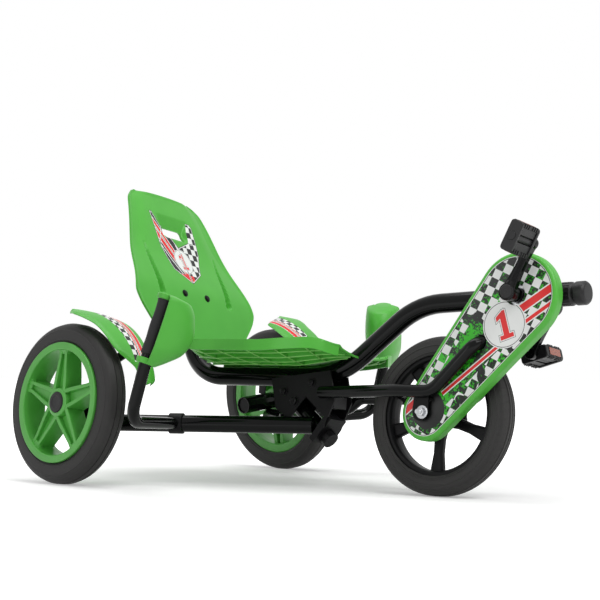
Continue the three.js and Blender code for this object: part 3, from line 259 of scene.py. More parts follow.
def sheet(surface, columns, rows, thickness):
    """A thin moulded shell: a surface and its copy set back by the wall, joined round the rim."""
    front = [[Vector(surface(i / columns, j / rows)) for i in range(columns + 1)] for j in range(rows + 1)]
    back = []
    for j in range(rows + 1):
        line = []
        for i in range(columns + 1):
            across = front[j][min(i + 1, columns)] - front[j][max(i - 1, 0)]
            along = front[min(j + 1, rows)][i] - front[max(j - 1, 0)][i]
            normal = across.cross(along)
            line.append(front[j][i] - normal.normalized() * thickness)
        back.append(line)
    points, faces = lattice(front)
    other, more = lattice(back)
    size = len(points)
    faces += [[size + i for i in polygon][::-1] for polygon in more]
    wide = columns + 1
    rim = [i for i in range(wide)]
    rim += [j * wide + columns for j in range(1, rows + 1)]
    rim += [rows * wide + i for i in range(columns - 1, -1, -1)]
    rim += [j * wide for j in range(rows - 1, 0, -1)]
    for a, b in zip(rim, rim[1:] + rim[:1]):
        faces.append([b, a, size + a, size + b])
    return points + other, faces


def bead(path, radius, wave=0.18, pitch=2.6, sides=8):
    """A weld: a small ripple of metal laid along a line that closes on itself."""
    n = len(path)
    turns = [math.tau * k / sides for k in range(sides)]
    rows = []
    travel = 0.0
    for i in range(n):
        along = (path[(i + 1) % n] - path[i - 1]).normalized()
        travel += (path[i] - path[i - 1]).length
        across = along.orthogonal().normalized()
        up = along.cross(across)
        reach = radius * (1 + wave * math.sin(math.tau * travel / pitch))
        rows.append([path[i] + (across * math.cos(t) + up * math.sin(t)) * reach for t in turns])
    return lattice(rows, round_rows=True, round_columns=True)


def weld_ring(centre, axis, radius, size=2.2, count=120):
    place = facing(centre, axis)
    return bead([place @ Vector((x, y, 0)) for x, y in circle(count, radius)], size)


# Pieces
WELD = 1e-6


def solid(name, form, place):
    """A new object from a form, its corners in metres in the object's own place."""
    mesh = bpy.data.meshes.new(name)
    points, faces = form
    mesh.from_pydata([Vector(p) * MM for p in points], [], faces)
    work = bmesh.new()
    work.from_mesh(mesh)
    bmesh.ops.remove_doubles(work, verts=work.verts, dist=WELD)
    bmesh.ops.dissolve_degenerate(work, edges=work.edges, dist=WELD)
    bmesh.ops.recalc_face_normals(work, faces=work.faces)
    work.to_mesh(mesh)
    work.free()
    made = bpy.data.objects.new(name, mesh)
    bpy.context.scene.collection.objects.link(made)
    made.matrix_world = place
    return made


def carve(target, cutters):
    """Cuts forms out of an object and keeps the result as its mesh."""
    for i, form in enumerate(cutters):
        tool = solid(f"{target.name}_cut_{i}", form, target.matrix_world)
        step = target.modifiers.new("cut", "BOOLEAN")
        step.object = tool
        step.operation = "DIFFERENCE"
        step.solver = "EXACT"
        bpy.context.view_layer.update()
        graph = bpy.context.evaluated_depsgraph_get()
        mesh = bpy.data.meshes.new_from_object(target.evaluated_get(graph))
        target.modifiers.clear()
        target.data = mesh
        bpy.data.objects.remove(tool)


def finish_edges(made, bevel, limit=35, segments=3):
    """Rounds the edges sharper than a limit by a width in millimetres."""
    if bevel:
        step = made.modifiers.new("edges", "BEVEL")
        step.width = bevel * MM
        step.segments = segments
        step.limit_method = "ANGLE"
        step.angle_limit = math.radians(limit)


def piece(name, form, body, place, look, hides=(), bevel=0.0, angle=38, cutters=(), limit=35):
    """A piece that rides on a body and, where it hides CAD nodes, stands for them."""
    paint, slot = LOOKS[look]
    made = solid(name, form, place)
    if cutters:
        carve(made, cutters)
    made.data.materials.clear()
    made.data.materials.append(paint.material)
    made.data.shade_smooth()
    made.data.set_sharp_from_angle(angle=math.radians(angle))
    finish_edges(made, bevel, limit)
    bpy.context.view_layer.update()
    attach(made, body)
    if hides:
        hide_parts(*hides)
    return made


def repaint(node, look, bevel=0.0):
    """Keeps a CAD piece and gives it a finished surface and soft edges."""
    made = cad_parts[node]
    made.data.materials.clear()
    made.data.materials.append(LOOKS[look][0].material)
    finish_edges(made, bevel, segments=2)


# Materials


class Value:
    """A number made by shader nodes, written as a sum."""

    def __init__(self, tree, socket):
        self.tree, self.socket = tree, socket

    def act(self, operation, *others):
        node = self.tree.nodes.new("ShaderNodeMath")
        node.operation = operation
        for i, term in enumerate((self, *others)):
            if isinstance(term, Value):
                self.tree.links.new(term.socket, node.inputs[i])
            else:
                node.inputs[i].default_value = term
        return Value(self.tree, node.outputs[0])

    def __add__(self, other):
        return self.act("ADD", other)

    __radd__ = __add__

    def __mul__(self, other):
        return self.act("MULTIPLY", other)

    __rmul__ = __mul__

    def __sub__(self, other):
        return self.act("SUBTRACT", other)

    def __rsub__(self, other):
        return (self * -1).act("ADD", other)

    def __lt__(self, other):
        return self.act("LESS_THAN", other)

    def __gt__(self, other):
        return self.act("GREATER_THAN", other)

    def __abs__(self):
        return self.act("ABSOLUTE")

    def wrap(self, size):
        return self.act("FLOORED_MODULO", size)

    def floor(self):
        return self.act("FLOOR")

    def least(self, other):
        return self.act("MINIMUM", other)

    def most(self, other):
        return self.act("MAXIMUM", other)

    def reach(self, other):
        return (self * self + other * other).act("SQRT")


def linear(red, green, blue):
    """A screen colour as Blender wants it."""
    def channel(value):
        value /= 255
        return value / 12.92 if value <= 0.04045 else ((value + 0.055) / 1.055) ** 2.4
    return channel(red), channel(green), channel(blue), 1.0


class Paint:
    """A material whose colour, roughness and relief come from nodes."""

    def __init__(self, name, roughness, metallic=0.0, specular=0.5, coat=0.0, coat_roughness=0.1, ior=1.5):
        self.material = bpy.data.materials.new(name)
        self.material.use_nodes = True
        self.tree = self.material.node_tree
        self.shader = self.tree.nodes["Principled BSDF"]
        self.shader.inputs["Roughness"].default_value = roughness
        self.shader.inputs["Metallic"].default_value = metallic
        self.shader.inputs["IOR"].default_value = ior
        self.shader.inputs["Specular IOR Level"].default_value = specular
        self.shader.inputs["Coat Weight"].default_value = coat
        self.shader.inputs["Coat Roughness"].default_value = coat_roughness
        place = self.tree.nodes.new("ShaderNodeTexCoord")
        self.place = place.outputs["Object"]

    def axes(self):
        """The three object coordinates in millimetres."""
        split = self.tree.nodes.new("ShaderNodeSeparateXYZ")
        self.tree.links.new(self.place, split.inputs[0])
        return [Value(self.tree, split.outputs[i]) * (1 / MM) for i in range(3)]

    def flow(self):
        """The two coordinates stored with a sheet, in millimetres."""
        node = self.tree.nodes.new("ShaderNodeUVMap")
        split = self.tree.nodes.new("ShaderNodeSeparateXYZ")
        self.tree.links.new(node.outputs[0], split.inputs[0])
        return [Value(self.tree, split.outputs[i]) * (1 / MM) for i in range(2)]

    def noise(self, size, detail=3.0, rough=0.5):
        """Cloudy noise with lumps of a size in millimetres."""
        node = self.tree.nodes.new("ShaderNodeTexNoise")
        node.inputs["Scale"].default_value = 1 / (size * MM)
        node.inputs["Detail"].default_value = detail
        node.inputs["Roughness"].default_value = rough
        self.tree.links.new(self.place, node.inputs["Vector"])
        return Value(self.tree, node.outputs[0])

    def blend(self, share, under, over):
        node = self.tree.nodes.new("ShaderNodeMix")
        node.data_type = "RGBA"
        for socket, term in ((node.inputs[0], share), (node.inputs[6], under), (node.inputs[7], over)):
            if isinstance(term, Value):
                self.tree.links.new(term.socket, socket)
            elif isinstance(term, bpy.types.NodeSocket):
                self.tree.links.new(term, socket)
            else:
                socket.default_value = term
        return node.outputs[2]

    def colour(self, socket):
        self.tree.links.new(socket, self.shader.inputs["Base Color"])

    def roughness(self, value):
        self.tree.links.new(value.socket, self.shader.inputs["Roughness"])

    def relief(self, height, depth):
        """Relief whose height value 1 stands for a depth in millimetres."""
        node = self.tree.nodes.new("ShaderNodeBump")
        node.inputs["Distance"].default_value = depth * MM
        self.tree.links.new(height.socket, node.inputs["Height"])
        self.tree.links.new(node.outputs[0], self.shader.inputs["Normal"])
        if self.shader.inputs["Coat Weight"].default_value > 0:
            self.tree.links.new(node.outputs[0], self.shader.inputs["Coat Normal"])


WHITE = linear(236, 238, 236)
BLACK = linear(8, 10, 9)
RED = linear(226, 44, 44)
GREEN = linear(84, 180, 62)
GREEN_DEEP = linear(70, 166, 50)
GREEN_VIVID = linear(52, 186, 30)
GREEN_DARK = linear(14, 70, 18)


def moulded(name, light, dark, roughness=0.42, grain=0.9, depth=0.05, specular=0.4):
    """Moulded plastic: a fine grain, soft flow marks and slightly uneven gloss."""
    paint = Paint(name, roughness, specular=specular)
    cloud = paint.noise(60, 2)
    fine = paint.noise(grain, 3, 0.6)
    paint.base = paint.blend(cloud, dark, light)
    paint.colour(paint.base)
    paint.roughness(cloud * 0.08 + fine * 0.06 + (roughness - 0.07))
    paint.relief(fine + cloud * 0.6, depth)
    return paint


def coated_steel(name, base, roughness, specular):
    """Gloss paint on steel: faint orange peel and a few dulled places."""
    paint = Paint(name, roughness, specular=specular, coat_roughness=0.08, ior=1.33)
    cloud = paint.noise(45, 3)
    peel = paint.noise(2.4, 2, 0.4)
    lighter = tuple(1.6 * c for c in base[:3]) + (1.0,)
    paint.colour(paint.blend(cloud, base, lighter))
    paint.roughness(cloud * 0.12 + (roughness - 0.06))
    paint.relief(peel, 0.03)
    return paint


green_plastic = moulded("green_plastic", GREEN, GREEN_DEEP)
rim_plastic = moulded("rim_green_plastic", linear(92, 180, 76), linear(72, 160, 58), 0.36, specular=0.5)
# A lighter green for beads along the seat pan's rib edges: a painted highlight of light caught on those edges
painted_highlight_plastic = moulded("rib_painted_highlight_plastic", linear(150, 226, 118), linear(128, 208, 96), 0.36, specular=0.5)
black_plastic = moulded("black_plastic", linear(28, 28, 29), linear(16, 16, 17), 0.46, 1.2, 0.08, 0.3)
gloss_black = coated_steel("gloss_black_paint", linear(5, 6, 6), 0.12, 0.3)
satin_black = coated_steel("satin_black_paint", linear(15, 15, 16), 0.36, 0.22)


def bright_steel_paint():
    paint = Paint("bright_steel", 0.28, metallic=1.0)
    cloud = paint.noise(8, 3)
    scratch = paint.noise(0.6, 4, 0.7)
    paint.colour(paint.blend(cloud, linear(150, 152, 156), linear(205, 206, 208)))
    paint.roughness(scratch * 0.18 + 0.2)
    paint.relief(scratch, 0.02)
    return paint


steel = bright_steel_paint()


def rubber_paint(name, tread, lines=(), sipes=0, shoulder=(0, 0)):
    """Tyre rubber: a fine bloom, moulded rings on the walls and cuts across the shoulders."""
    paint = Paint(name, 0.6, specular=0.35)
    x, y, z = paint.axes()
    radius = x.reach(y)
    cloud = paint.noise(26, 4, 0.6)
    fine = paint.noise(1.1, 3, 0.6)
    scuff = paint.noise(5, 5, 0.7)
    worn = (radius > tread - 7) * 0.35
    paint.colour(paint.blend(cloud * 0.7 + worn * scuff, linear(28, 27, 27), linear(50, 49, 48)))
    paint.roughness(cloud * 0.16 + scuff * 0.1 + 0.46)
    height = fine * 0.12 + scuff * 0.06
    for at, half in lines:
        height = height + (abs(radius - at) < half) * 0.4
    if sipes:
        turn = y.act("ARCTAN2", x) * (sipes / math.tau)
        side = abs(z)
        sweep = (turn + side * 0.035).wrap(1.0)
        cut = (abs(sweep - 0.5) < 0.05) * (side > shoulder[0]) * (side < shoulder[1])
        far = (z > 0) * 0.5
        fine_cut = (abs((turn + side * -0.02 + far).wrap(1.0) - 0.25) < 0.03) * (side > shoulder[0] * 0.45)
        height = height - (cut + fine_cut * (side < shoulder[0])) * (radius > tread - 14)
    paint.relief(height, 1.1)
    return paint


def polygon(x, y, corners):
    """How far a point lies outside a convex outline given anticlockwise, less than 0 inside it."""
    found = None
    for (ax, ay), (bx, by) in zip(corners, corners[1:] + corners[:1]):
        length = math.hypot(bx - ax, by - ay)
        nx, ny = (by - ay) / length, -(bx - ax) / length
        edge = x * nx + y * ny - (ax * nx + ay * ny)
        found = edge if found is None else found.most(edge)
    return found


def digit_one(x, y, size):
    """A block numeral one with slabs; the distance outside it, its height being 2."""
    x, y = x * (1 / size), y * (1 / size)
    stem = polygon(x, y, [(-0.2, -0.92), (0.24, -0.92), (0.24, 1.0), (0.02, 1.0), (-0.2, 0.8)])
    foot = polygon(x, y, [(-0.5, -1.0), (0.54, -1.0), (0.54, -0.7), (-0.5, -0.7)])
    flag = polygon(x, y, [(-0.52, 0.34), (0.02, 0.62), (0.1, 1.0), (-0.16, 0.88), (-0.52, 0.66)])
    return stem.least(foot).least(flag) * size


class Decal:
    """Layers of flat colour over a base, in the order in which they are laid."""

    def __init__(self, paint, base):
        self.paint, self.now = paint, base

    def lay(self, where, colour):
        self.now = self.paint.blend(where, self.now, colour)

    def stripe(self, x, y, start, end, width, colour, border=2.0, border_colour=WHITE):
        """A straight stripe between two points with a thin border along both sides."""
        ax, ay = start
        length = math.hypot(end[0] - ax, end[1] - ay)
        dx, dy = (end[0] - ax) / length, (end[1] - ay) / length
        along = (x - ax) * dx + (y - ay) * dy
        off = abs((x - ax) * -dy + (y - ay) * dx)
        inside = (along > 0) * (along < length)
        self.lay(inside * (off < width / 2 + border), border_colour)
        self.lay(inside * (off < width / 2), colour)

    def roundel(self, x, y, centre, radius, size, up):
        """A white disc with a thin black ring and a red numeral one."""
        across, rise = x - centre[0], y - centre[1]
        away = across.reach(rise)
        self.lay(away < radius, WHITE)
        self.lay((away < radius * 0.955) * (away > radius * 0.93), BLACK)
        ux, uy = up
        a = across * uy - rise * ux
        b = across * ux + rise * uy
        out = digit_one(a, b, size)
        self.lay(out < radius * 0.062, BLACK)
        self.lay(out < radius * 0.045, WHITE)
        self.lay(out < 0, RED)


GUARD_FOOT = (5, 158.93)
GUARD_HEAD = (188, 386)
GUARD_LENGTH = math.dist(GUARD_FOOT, GUARD_HEAD)
GUARD_DIRECTION = tuple((high - low) / GUARD_LENGTH for low, high in zip(GUARD_FOOT, GUARD_HEAD))
GUARD_RADII = (54.97, 86.0)
GUARD_FACE = 64.5
GUARD_BACK = 40
GUARD_RIM = 8.5


def guard_paint():
    """The guard's printed face: squares, mottled green, racing stripes and a start number."""
    paint = moulded("guard_print", GREEN, GREEN_DEEP)
    x, y, z = paint.axes()
    ex, ez = GUARD_DIRECTION
    u = (x - GUARD_FOOT[0]) * ex + (z - GUARD_FOOT[1]) * ez
    v = (z - GUARD_FOOT[1]) * ex - (x - GUARD_FOOT[0]) * ez
    lean = (GUARD_RADII[1] - GUARD_RADII[0]) / GUARD_LENGTH
    level = math.sqrt(1 - lean * lean)
    edge = abs(v) * level - u * lean - GUARD_RADII[0]
    reach = u * level + abs(v) * lean
    low = u.reach(v) - GUARD_RADII[0]
    high = (u - GUARD_LENGTH).reach(v) - GUARD_RADII[1]
    past_low, past_high = reach < 0, reach > GUARD_LENGTH * level
    inset = (low * past_low + high * past_high + edge * (1 - past_low - past_high)) * -1
    check, slant = 17.4, math.radians(15.5)
    sine, cosine = math.sin(slant) / check, math.cos(slant) / check
    cell = (u * cosine + v * sine + 0.1).floor() + (v * cosine - u * sine - 0.3).floor()
    light = cell.wrap(2.0) > 0.5
    speck = paint.noise(7, 8, 0.75)
    patch = paint.noise(48, 2, 0.5)
    middle = 1 - (abs(v - 8) * (1 / 60)).least(1.0)
    leafy = speck * 1.15 + patch * 0.5 + middle * 0.06 - (u > 206) * 0.07
    ground = paint.blend(leafy > 0.83, BLACK, GREEN_DARK)
    ground = paint.blend(leafy > 0.885, ground, GREEN_VIVID)
    decal = Decal(paint, ground)
    keep = ((u > 214) + (inset < 34) * (patch > 0.4)) > 0.5
    decal.lay(light * keep, WHITE)
    decal.stripe(u, v, (268, -21.5), (380, -58), 14.5, RED, 2.6)
    decal.stripe(u, v, (250, -44), (372, -81), 7, RED, 2.4)
    decal.stripe(u, v, (52, -4.5), (230, -43.5), 6, RED, 2.2)
    decal.stripe(u, v, (-60, 43), (16, 28.5), 13, RED, 2.4)
    decal.lay((u - 9).reach(v + 2) < 37, BLACK)
    decal.roundel(u, v, (236, -18), 46, 28, (0.532, 0.847))
    decal.lay(inset < 11.6, BLACK)
    decal.lay(inset < 10.4, WHITE)
    face = (y < 1.2 - GUARD_FACE) * (inset > 9.1)
    paint.colour(paint.blend(face, paint.base, decal.now))
    return paint


SEAT_FOOT = (-632, 262)
SEAT_LEAN = 186
SEAT_TALL = 386
SEAT_HALF = 200
BACK_CURVE = [(0, 0), (0.176, 0.108), (0.383, 0.237), (0.617, 0.538), (0.873, 0.806), (1, 0.96)]


def seat_depth(up):
    """The X of the seat back's middle line at a height over its foot, as a sum of straight steps."""
    depth = up * 0 + SEAT_FOOT[0]
    points = [(share * SEAT_TALL, -lean * SEAT_LEAN) for share, lean in BACK_CURVE]
    for (z0, x0), (z1, x1) in zip(points, points[1:]):
        depth = depth + (up - z0).most(0).least(z1 - z0) * ((x1 - x0) / (z1 - z0))
    return depth


def seat_paint():
    """The seat back's printed badge: two arms of stripes and squares round a start number."""
    paint = moulded("seat_print", GREEN, GREEN_DEEP)
    x, y, z = paint.axes()
    up = z - SEAT_FOOT[1]
    left_low = polygon(y, up, [(-66, 256), (-46, 203), (4, 176), (-3, 261), (-46, 312)])
    left_high = polygon(y, up, [(-73, 338), (-66, 256), (-46, 300), (-66, 338)])
    right_low = polygon(y, up, [(4, 176), (46, 203), (66, 254), (68, 280), (38, 280), (-5, 260)])
    right_high = polygon(y, up, [(39, 276), (68, 276), (67, 322), (60, 330), (45, 330), (39, 322)])
    arm_left, arm_right = left_low.least(left_high), right_low.least(right_high)
    badge = arm_left.least(arm_right)
    cell = 14
    light = ((y * (1 / cell)).floor() + (up * (1 / cell)).floor()).wrap(2.0) > 0.5
    decal = Decal(paint, paint.blend(light, BLACK, WHITE))
    on_left = (arm_left < 0) * ((y + (up - 230) * 0.35) < 0)
    decal.lay(on_left, BLACK)
    slant = (y + 66) * 0.82 + (up - 256) * 0.57
    decal.lay(on_left * (abs(slant - 17) < 7), WHITE)
    decal.lay(on_left * (abs(slant - 17) < 5), RED)
    decal.lay(on_left * (abs(slant - 31) < 5.5), WHITE)
    decal.lay(on_left * (abs(slant - 31) < 3.5), RED)
    decal.lay(on_left * (abs(slant - 4) < 1.4), WHITE)
    tip = up < 196
    decal.lay(tip * (y < 16), RED)
    decal.lay(tip * (abs(y + (up - 176) * 0.8 + 12) < 1.6), WHITE)
    decal.roundel(y, up, (0, 228), 29, 18, (-0.1, 0.995))
    decal.lay(badge > -2.6, WHITE)
    decal.lay(badge > -1.2, BLACK)
    front = x > seat_depth(up) - 2.2
    paint.colour(paint.blend((badge < 0) * front, paint.base, decal.now))
    return paint


def mudguard_paint():
    """Stripes and a strip of squares that run down the inner half of a mudguard."""
    paint = moulded("mudguard_print", GREEN, GREEN_DEEP)
    along, across = paint.flow()
    decal = Decal(paint, paint.base)
    inside = (along > 45) * (along < 236)
    taper = (along - 45) * 0.16
    off = across - 34
    light = ((along * (1 / 12)).floor() + (across * (1 / 12)).floor()).wrap(2.0) > 0.5
    band = inside * (off > taper * -0.55 - 6) * (off < 8)
    decal.lay(band, paint.blend(light, BLACK, WHITE))
    decal.lay(inside * (off > 6) * (off < 27), WHITE)
    decal.lay(inside * (off > 7.5) * (off < 10.5), RED)
    decal.lay(inside * (off > 12.5) * (off < 14), BLACK)
    decal.lay(inside * (off > 16) * (off < 25.5), RED)
    paint.colour(decal.now)
    return paint


guard_print = guard_paint()
seat_print = seat_paint()
mudguard_print = mudguard_paint()
FRONT_RADIUS, REAR_RADIUS = 158, 171.5
front_rubber = rubber_paint("front_tyre_rubber", FRONT_RADIUS, ((124.5, 0.5), (129, 0.6), (147, 0.5)),
                            64, (15, 26))
rear_rubber = rubber_paint("rear_tyre_rubber", REAR_RADIUS, ((133, 0.5), (138, 0.6), (158, 0.5)))
soft_black = moulded("grip_rubber", linear(30, 30, 31), linear(20, 20, 21), 0.62, 1.6, 0.12, 0.3)
amber = Paint("amber_reflector", 0.25, specular=0.5, coat=0.4)
amber_x, amber_y, _ = amber.axes()
amber_cell = (((amber_y + amber_x) * 0.35).wrap(1.0) - 0.5) * (((amber_y - amber_x) * 0.35).wrap(1.0) - 0.5)
amber.colour(amber.blend(abs(amber_cell) * 4, linear(120, 44, 12), linear(206, 92, 30)))
amber.relief(abs(amber_cell), 0.6)

# Each finish with the name of the material slot that it stands for
LOOKS = dict(
    # edge: the painted highlight on the seat pan's rib edges
    green=(green_plastic, "green_plastic"), edge=(painted_highlight_plastic, "green_plastic"),
    rim=(rim_plastic, "green_plastic"), guard=(guard_print, "green_plastic"),
    seat=(seat_print, "green_plastic"),
    mudguard=(mudguard_print, "green_plastic"), black=(black_plastic, "black_plastic"),
    cast=(satin_black, "black_plastic"), amber=(amber, "black_plastic"), gloss=(gloss_black, "black_paint"),
    satin=(satin_black, "black_paint"), steel=(steel, "bright_steel"), soft=(soft_black, "rubber"),
    front_tyre=(front_rubber, "tyre"), rear_tyre=(rear_rubber, "tyre"))

# Main tube with its crank shell and the cap on its nose
NOSE = Vector((300, 0, 401))
SHOULDER = Vector((-72, 0, 382))
CRANK = (186, 0, 389)
main_corners = [NOSE, SHOULDER, (-256, 0, 230), (-650, 0, 228), (-710.9, 0, 415)]
MAIN_RADIUS = 20
main_form = tube(bent(main_corners, [170, 215, 100]), MAIN_RADIUS, 40)
shell_form = bar((CRANK[0], -33, CRANK[2]), (CRANK[0], 33, CRANK[2]), 17, 36)
shell_welds = [weld_ring((CRANK[0], side * 15, CRANK[2] - 1), (0, 1, 0.1), 18.3, 1.8) for side in (-1, 1)]
piece("main_tube_skin", join(main_form, shell_form, *shell_welds), "front_frame", FRONT, "gloss",
      ["main_tube"])

nose_axis = (NOSE - SHOULDER).normalized()
cap_place = facing(NOSE, nose_axis, (0, 1, 0))
cap_outline = [(0, 6), (19, 6), (23, 1), (23, -16), (20.8, -19), (20.8, -22), (22.4, -25), (22.4, -52),
               (20.9, -54), (20.2, -54), (20.2, -1), (0, -1)]
cap_form = turned(rounded(cap_outline, [0, 5, 4, 2, 1, 1, 1.5, 1.2, 0.3, 0.3, 0.5, 0], 5, False), 56)
CAP_RIBS = 20
cap_rib = block(1.6, 1.2, 24, (22.3, 0, -38))
cap_ribs = [placed(cap_rib, Matrix.Rotation(math.tau * i / CAP_RIBS, 4, "Z")) for i in range(CAP_RIBS)]
piece("nose_cap_grip", placed(join(cap_form, *cap_ribs), cap_place), "front_frame", FRONT, "black",
      ["nose_cap"], 0.3)

# Fork tubes with the welds that hold the dropouts
FORK = 12.5
FORK_END, FORK_DROP = 140, 12.8
FORK_TOP = SHOULDER.z + (NOSE.z - SHOULDER.z) * (FORK_END - SHOULDER.x) / (NOSE.x - SHOULDER.x) - FORK_DROP


def fork_path(side):
    corners = [(-60, side * 78, 199), (25, side * 78, 199), (112, side * 78, 291),
               (131, side * 19, 314), (FORK_END, side * 14, FORK_TOP)]
    bends = [150, 45, 22, 22]
    if side < 0:
        return bent([(-265, -46, 194), *corners], bends)

    def spread(setback):
        return mix(46, 78, (290 - setback) / 230)

    rear = [(-290, spread(290), 169), (-262, spread(262), 169), (-234, spread(234), 194)]
    return bent([*rear, *corners], [30, 30, *bends])


AXLE = (5, 0, 158.93)
for name, side in SIDES:
    beads = []
    for half in (-15.5, 15.5):
        line = [Vector((AXLE[0] + half + x * 1.2, side * 71.75 + y * 1.2, 184 + 3 * y))
                for x, y in circle(40, 1)]
        beads.append(bead(line, 1.4))
    fork_form = join(tube(fork_path(side), FORK, 32), *beads)
    piece(f"fork_tube_{name}_skin", fork_form, "front_frame", FRONT, "gloss", [f"fork_tube_{name}"])
    hub = placed(join(disc(13, 0, 1.6, 0.5), disc(10, 1.4, 2.4, 0.4), hexagon(9, 2.2, 9, 1.2),
                      disc(5, 7, 12.2, 1.2), disc(2.2, 11, 12.4, 0.4)),
                 facing((AXLE[0], side * 73.8, AXLE[2]), (0, side, 0)))
    piece(f"axle_nut_{name}_finish", hub, "front_frame", FRONT, "steel",
          [f"axle_nut_{name}"], 0.2)

# Seat back: a leaning moulded shell with turned wings, two flutes and a hand hole under a scooped recess
back_curve = curve(BACK_CURVE)
back_width = curve([(0.085, 0.66), (0.176, 0.79), (0.3, 0.97), (0.345, 1), (0.39, 0.985), (0.484, 0.925),
                    (0.705, 0.765), (0.9, 0.645), (0.945, 0.61), (0.985, 0.53), (1, 0.46)])
wing_line = curve([(0, 205), (0.3, 200), (0.347, 195), (0.562, 160), (0.77, 117), (0.9, 104), (1, 96)])
flute_line = curve([(0.36, 114), (0.477, 117), (0.635, 119), (0.66, 119.5)])
HOLE = (36, 281, 304, 336)


def back_surface(u, v):
    reach = 2 * u - 1
    tall = mix(0.085, 1, v)
    y = reach * SEAT_HALF * back_width(tall)
    up = SEAT_TALL * tall - 4 * reach * reach * smooth(2 * tall - 1)
    x = SEAT_FOOT[0] - SEAT_LEAN * back_curve(tall)
    past = abs(y) - wing_line(tall)
    x += mix(1, -7, smooth((tall - 0.35) / 0.4)) * smooth((abs(reach) - 0.62) / 0.38)
    x += 0.1 * max(past, 0) * smooth(past / 8)
    if 0.34 < tall < 0.665:
        drop = clamp((0.665 - tall) / 0.3)
        off = (abs(y) - flute_line(tall)) / mix(3, 10, drop)
        ends = smooth((tall - 0.34) / 0.03) * drop ** 0.6
        x -= 14 * ends * (smooth(2 * (1 - abs(off))) if abs(off) < 1 else 0)
    half, low, high, top = HOLE
    if low - 4 < up < top + 8 and abs(y) < 70:
        slope = clamp((top - up) / (top - high)) if up > high else 1
        wide = mix(52, half + 5, slope)
        inside = smooth((wide + 5 - abs(y)) / 8)
        depth = 14 * slope if up > high else 14 * smooth((up - low + 4) / 18)
        x -= depth * inside * smooth((top + 3 - up) / 5)
    x += 1.6 * smooth((abs(reach) - 0.955) / 0.045) + 1.4 * smooth((v - 0.975) / 0.025)
    return x, y, SEAT_FOOT[1] + up


def oval_cut(half_y, low, high, radius, x):
    outline = rounded([(-half_y, low), (half_y, low), (half_y, high), (-half_y, high)], radius, 6)
    rows = [[(level, p[0], p[1]) for p in outline] for level in (x + 60, x - 70)]
    return lattice(rows, round_columns=True, caps=True)


hole_low, hole_high = SEAT_FOOT[1] + HOLE[1], SEAT_FOOT[1] + HOLE[2]
hole_form = oval_cut(HOLE[0], hole_low, hole_high, 10, SEAT_FOOT[0] - SEAT_LEAN * back_curve(0.758))
piece("seat_back_shell", sheet(back_surface, 150, 150, 4.6), "front_frame", FRONT, "seat",
      ["seat_back"], 0.9, 50, [hole_form], 55)

BOLT_ASIDE, BOLT_RISE = 38, 148
for name, side in SIDES:
    tall = BOLT_RISE / SEAT_TALL
    origin = (SEAT_FOOT[0] - SEAT_LEAN * back_curve(tall), side * BOLT_ASIDE, SEAT_FOOT[1] + BOLT_RISE)
    bolt = join(disc(8.5, -3, 0.8, 0.5), disc(6.2, 0.6, 3.2, 1.4), disc(3, 1, 3.4, 0.3, 6))
    piece(f"seat_bolt_{name}", placed(bolt, facing(origin, (0.9, 0, 0.42))), "front_frame", FRONT, "satin")

# Seat pan: a shallow bowl with a turned-down skirt and a net of ribs below, their lower edges lined with
# lighter green beads as a painted highlight
pan_width = curve([(0, 0.8), (0.08, 0.93), (0.25, 1), (0.7, 0.98), (0.86, 0.9), (0.95, 0.76), (1, 0.52)])
PAN = (-606, 410, 170, 261)


def pan_height(reach, share):
    thigh = smooth((share - 0.6) / 0.4)
    rear = smooth((0.22 - share) / 0.22)
    return PAN[3] + 24 * reach ** 2 + 20 * thigh * (1 - reach ** 2 / 2) + 40 * rear * reach ** 2


def pan_surface(u, v):
    share = 1 - v
    reach = (2 * u - 1) * 1.06
    inner = clamp(reach, -1, 1)
    over = max(abs(reach) - 1, 0) / 0.06
    y = inner * PAN[2] * pan_width(share) + math.copysign(1.5 * over, inner)
    z = pan_height(inner, share) + 3 * smooth((abs(inner) - 0.86) / 0.14) - 24 * over
    z -= 9 * smooth((share - 0.9) / 0.1) ** 2
    hollow = math.exp(-((share - 0.32) / 0.22) ** 2) * (1 - inner ** 2)
    return PAN[0] + PAN[1] * share, y, z - 1.5 * hollow


pan_form = sheet(pan_surface, 110, 90, 3.6)
ribs, rib_highlight_beads = [], []


def under(x, y):
    share = (x - PAN[0]) / PAN[1]
    reach = clamp(y / (PAN[2] * pan_width(share)), -1, 1)
    return pan_height(reach, share) - 3.4


def rib(points):
    """A thin upright blade under the bowl, following a line given by X and Y."""
    rows = []
    for i, (x, y) in enumerate(points):
        ax, ay = points[max(i - 1, 0)]
        bx, by = points[min(i + 1, len(points) - 1)]
        length = math.hypot(bx - ax, by - ay)
        nx, ny = -(by - ay) / length * 0.9, (bx - ax) / length * 0.9
        top = under(x, y)
        low = min(max(top - 8, 251.5), top - 2)
        rows.append([(x + nx, y + ny, top + 1), (x - nx, y - ny, top + 1),
                     (x - nx * 0.8, y - ny * 0.8, low), (x + nx * 0.8, y + ny * 0.8, low)])
    ribs.append(lattice(rows, round_columns=True, caps=True))
    # A lighter green bead along the rib's lower edge, which carries the painted highlight
    rib_highlight_beads.append(tube([mix(Vector(row[2]), Vector(row[3]), 0.5) for row in rows], 1.1, 8, 0.3))


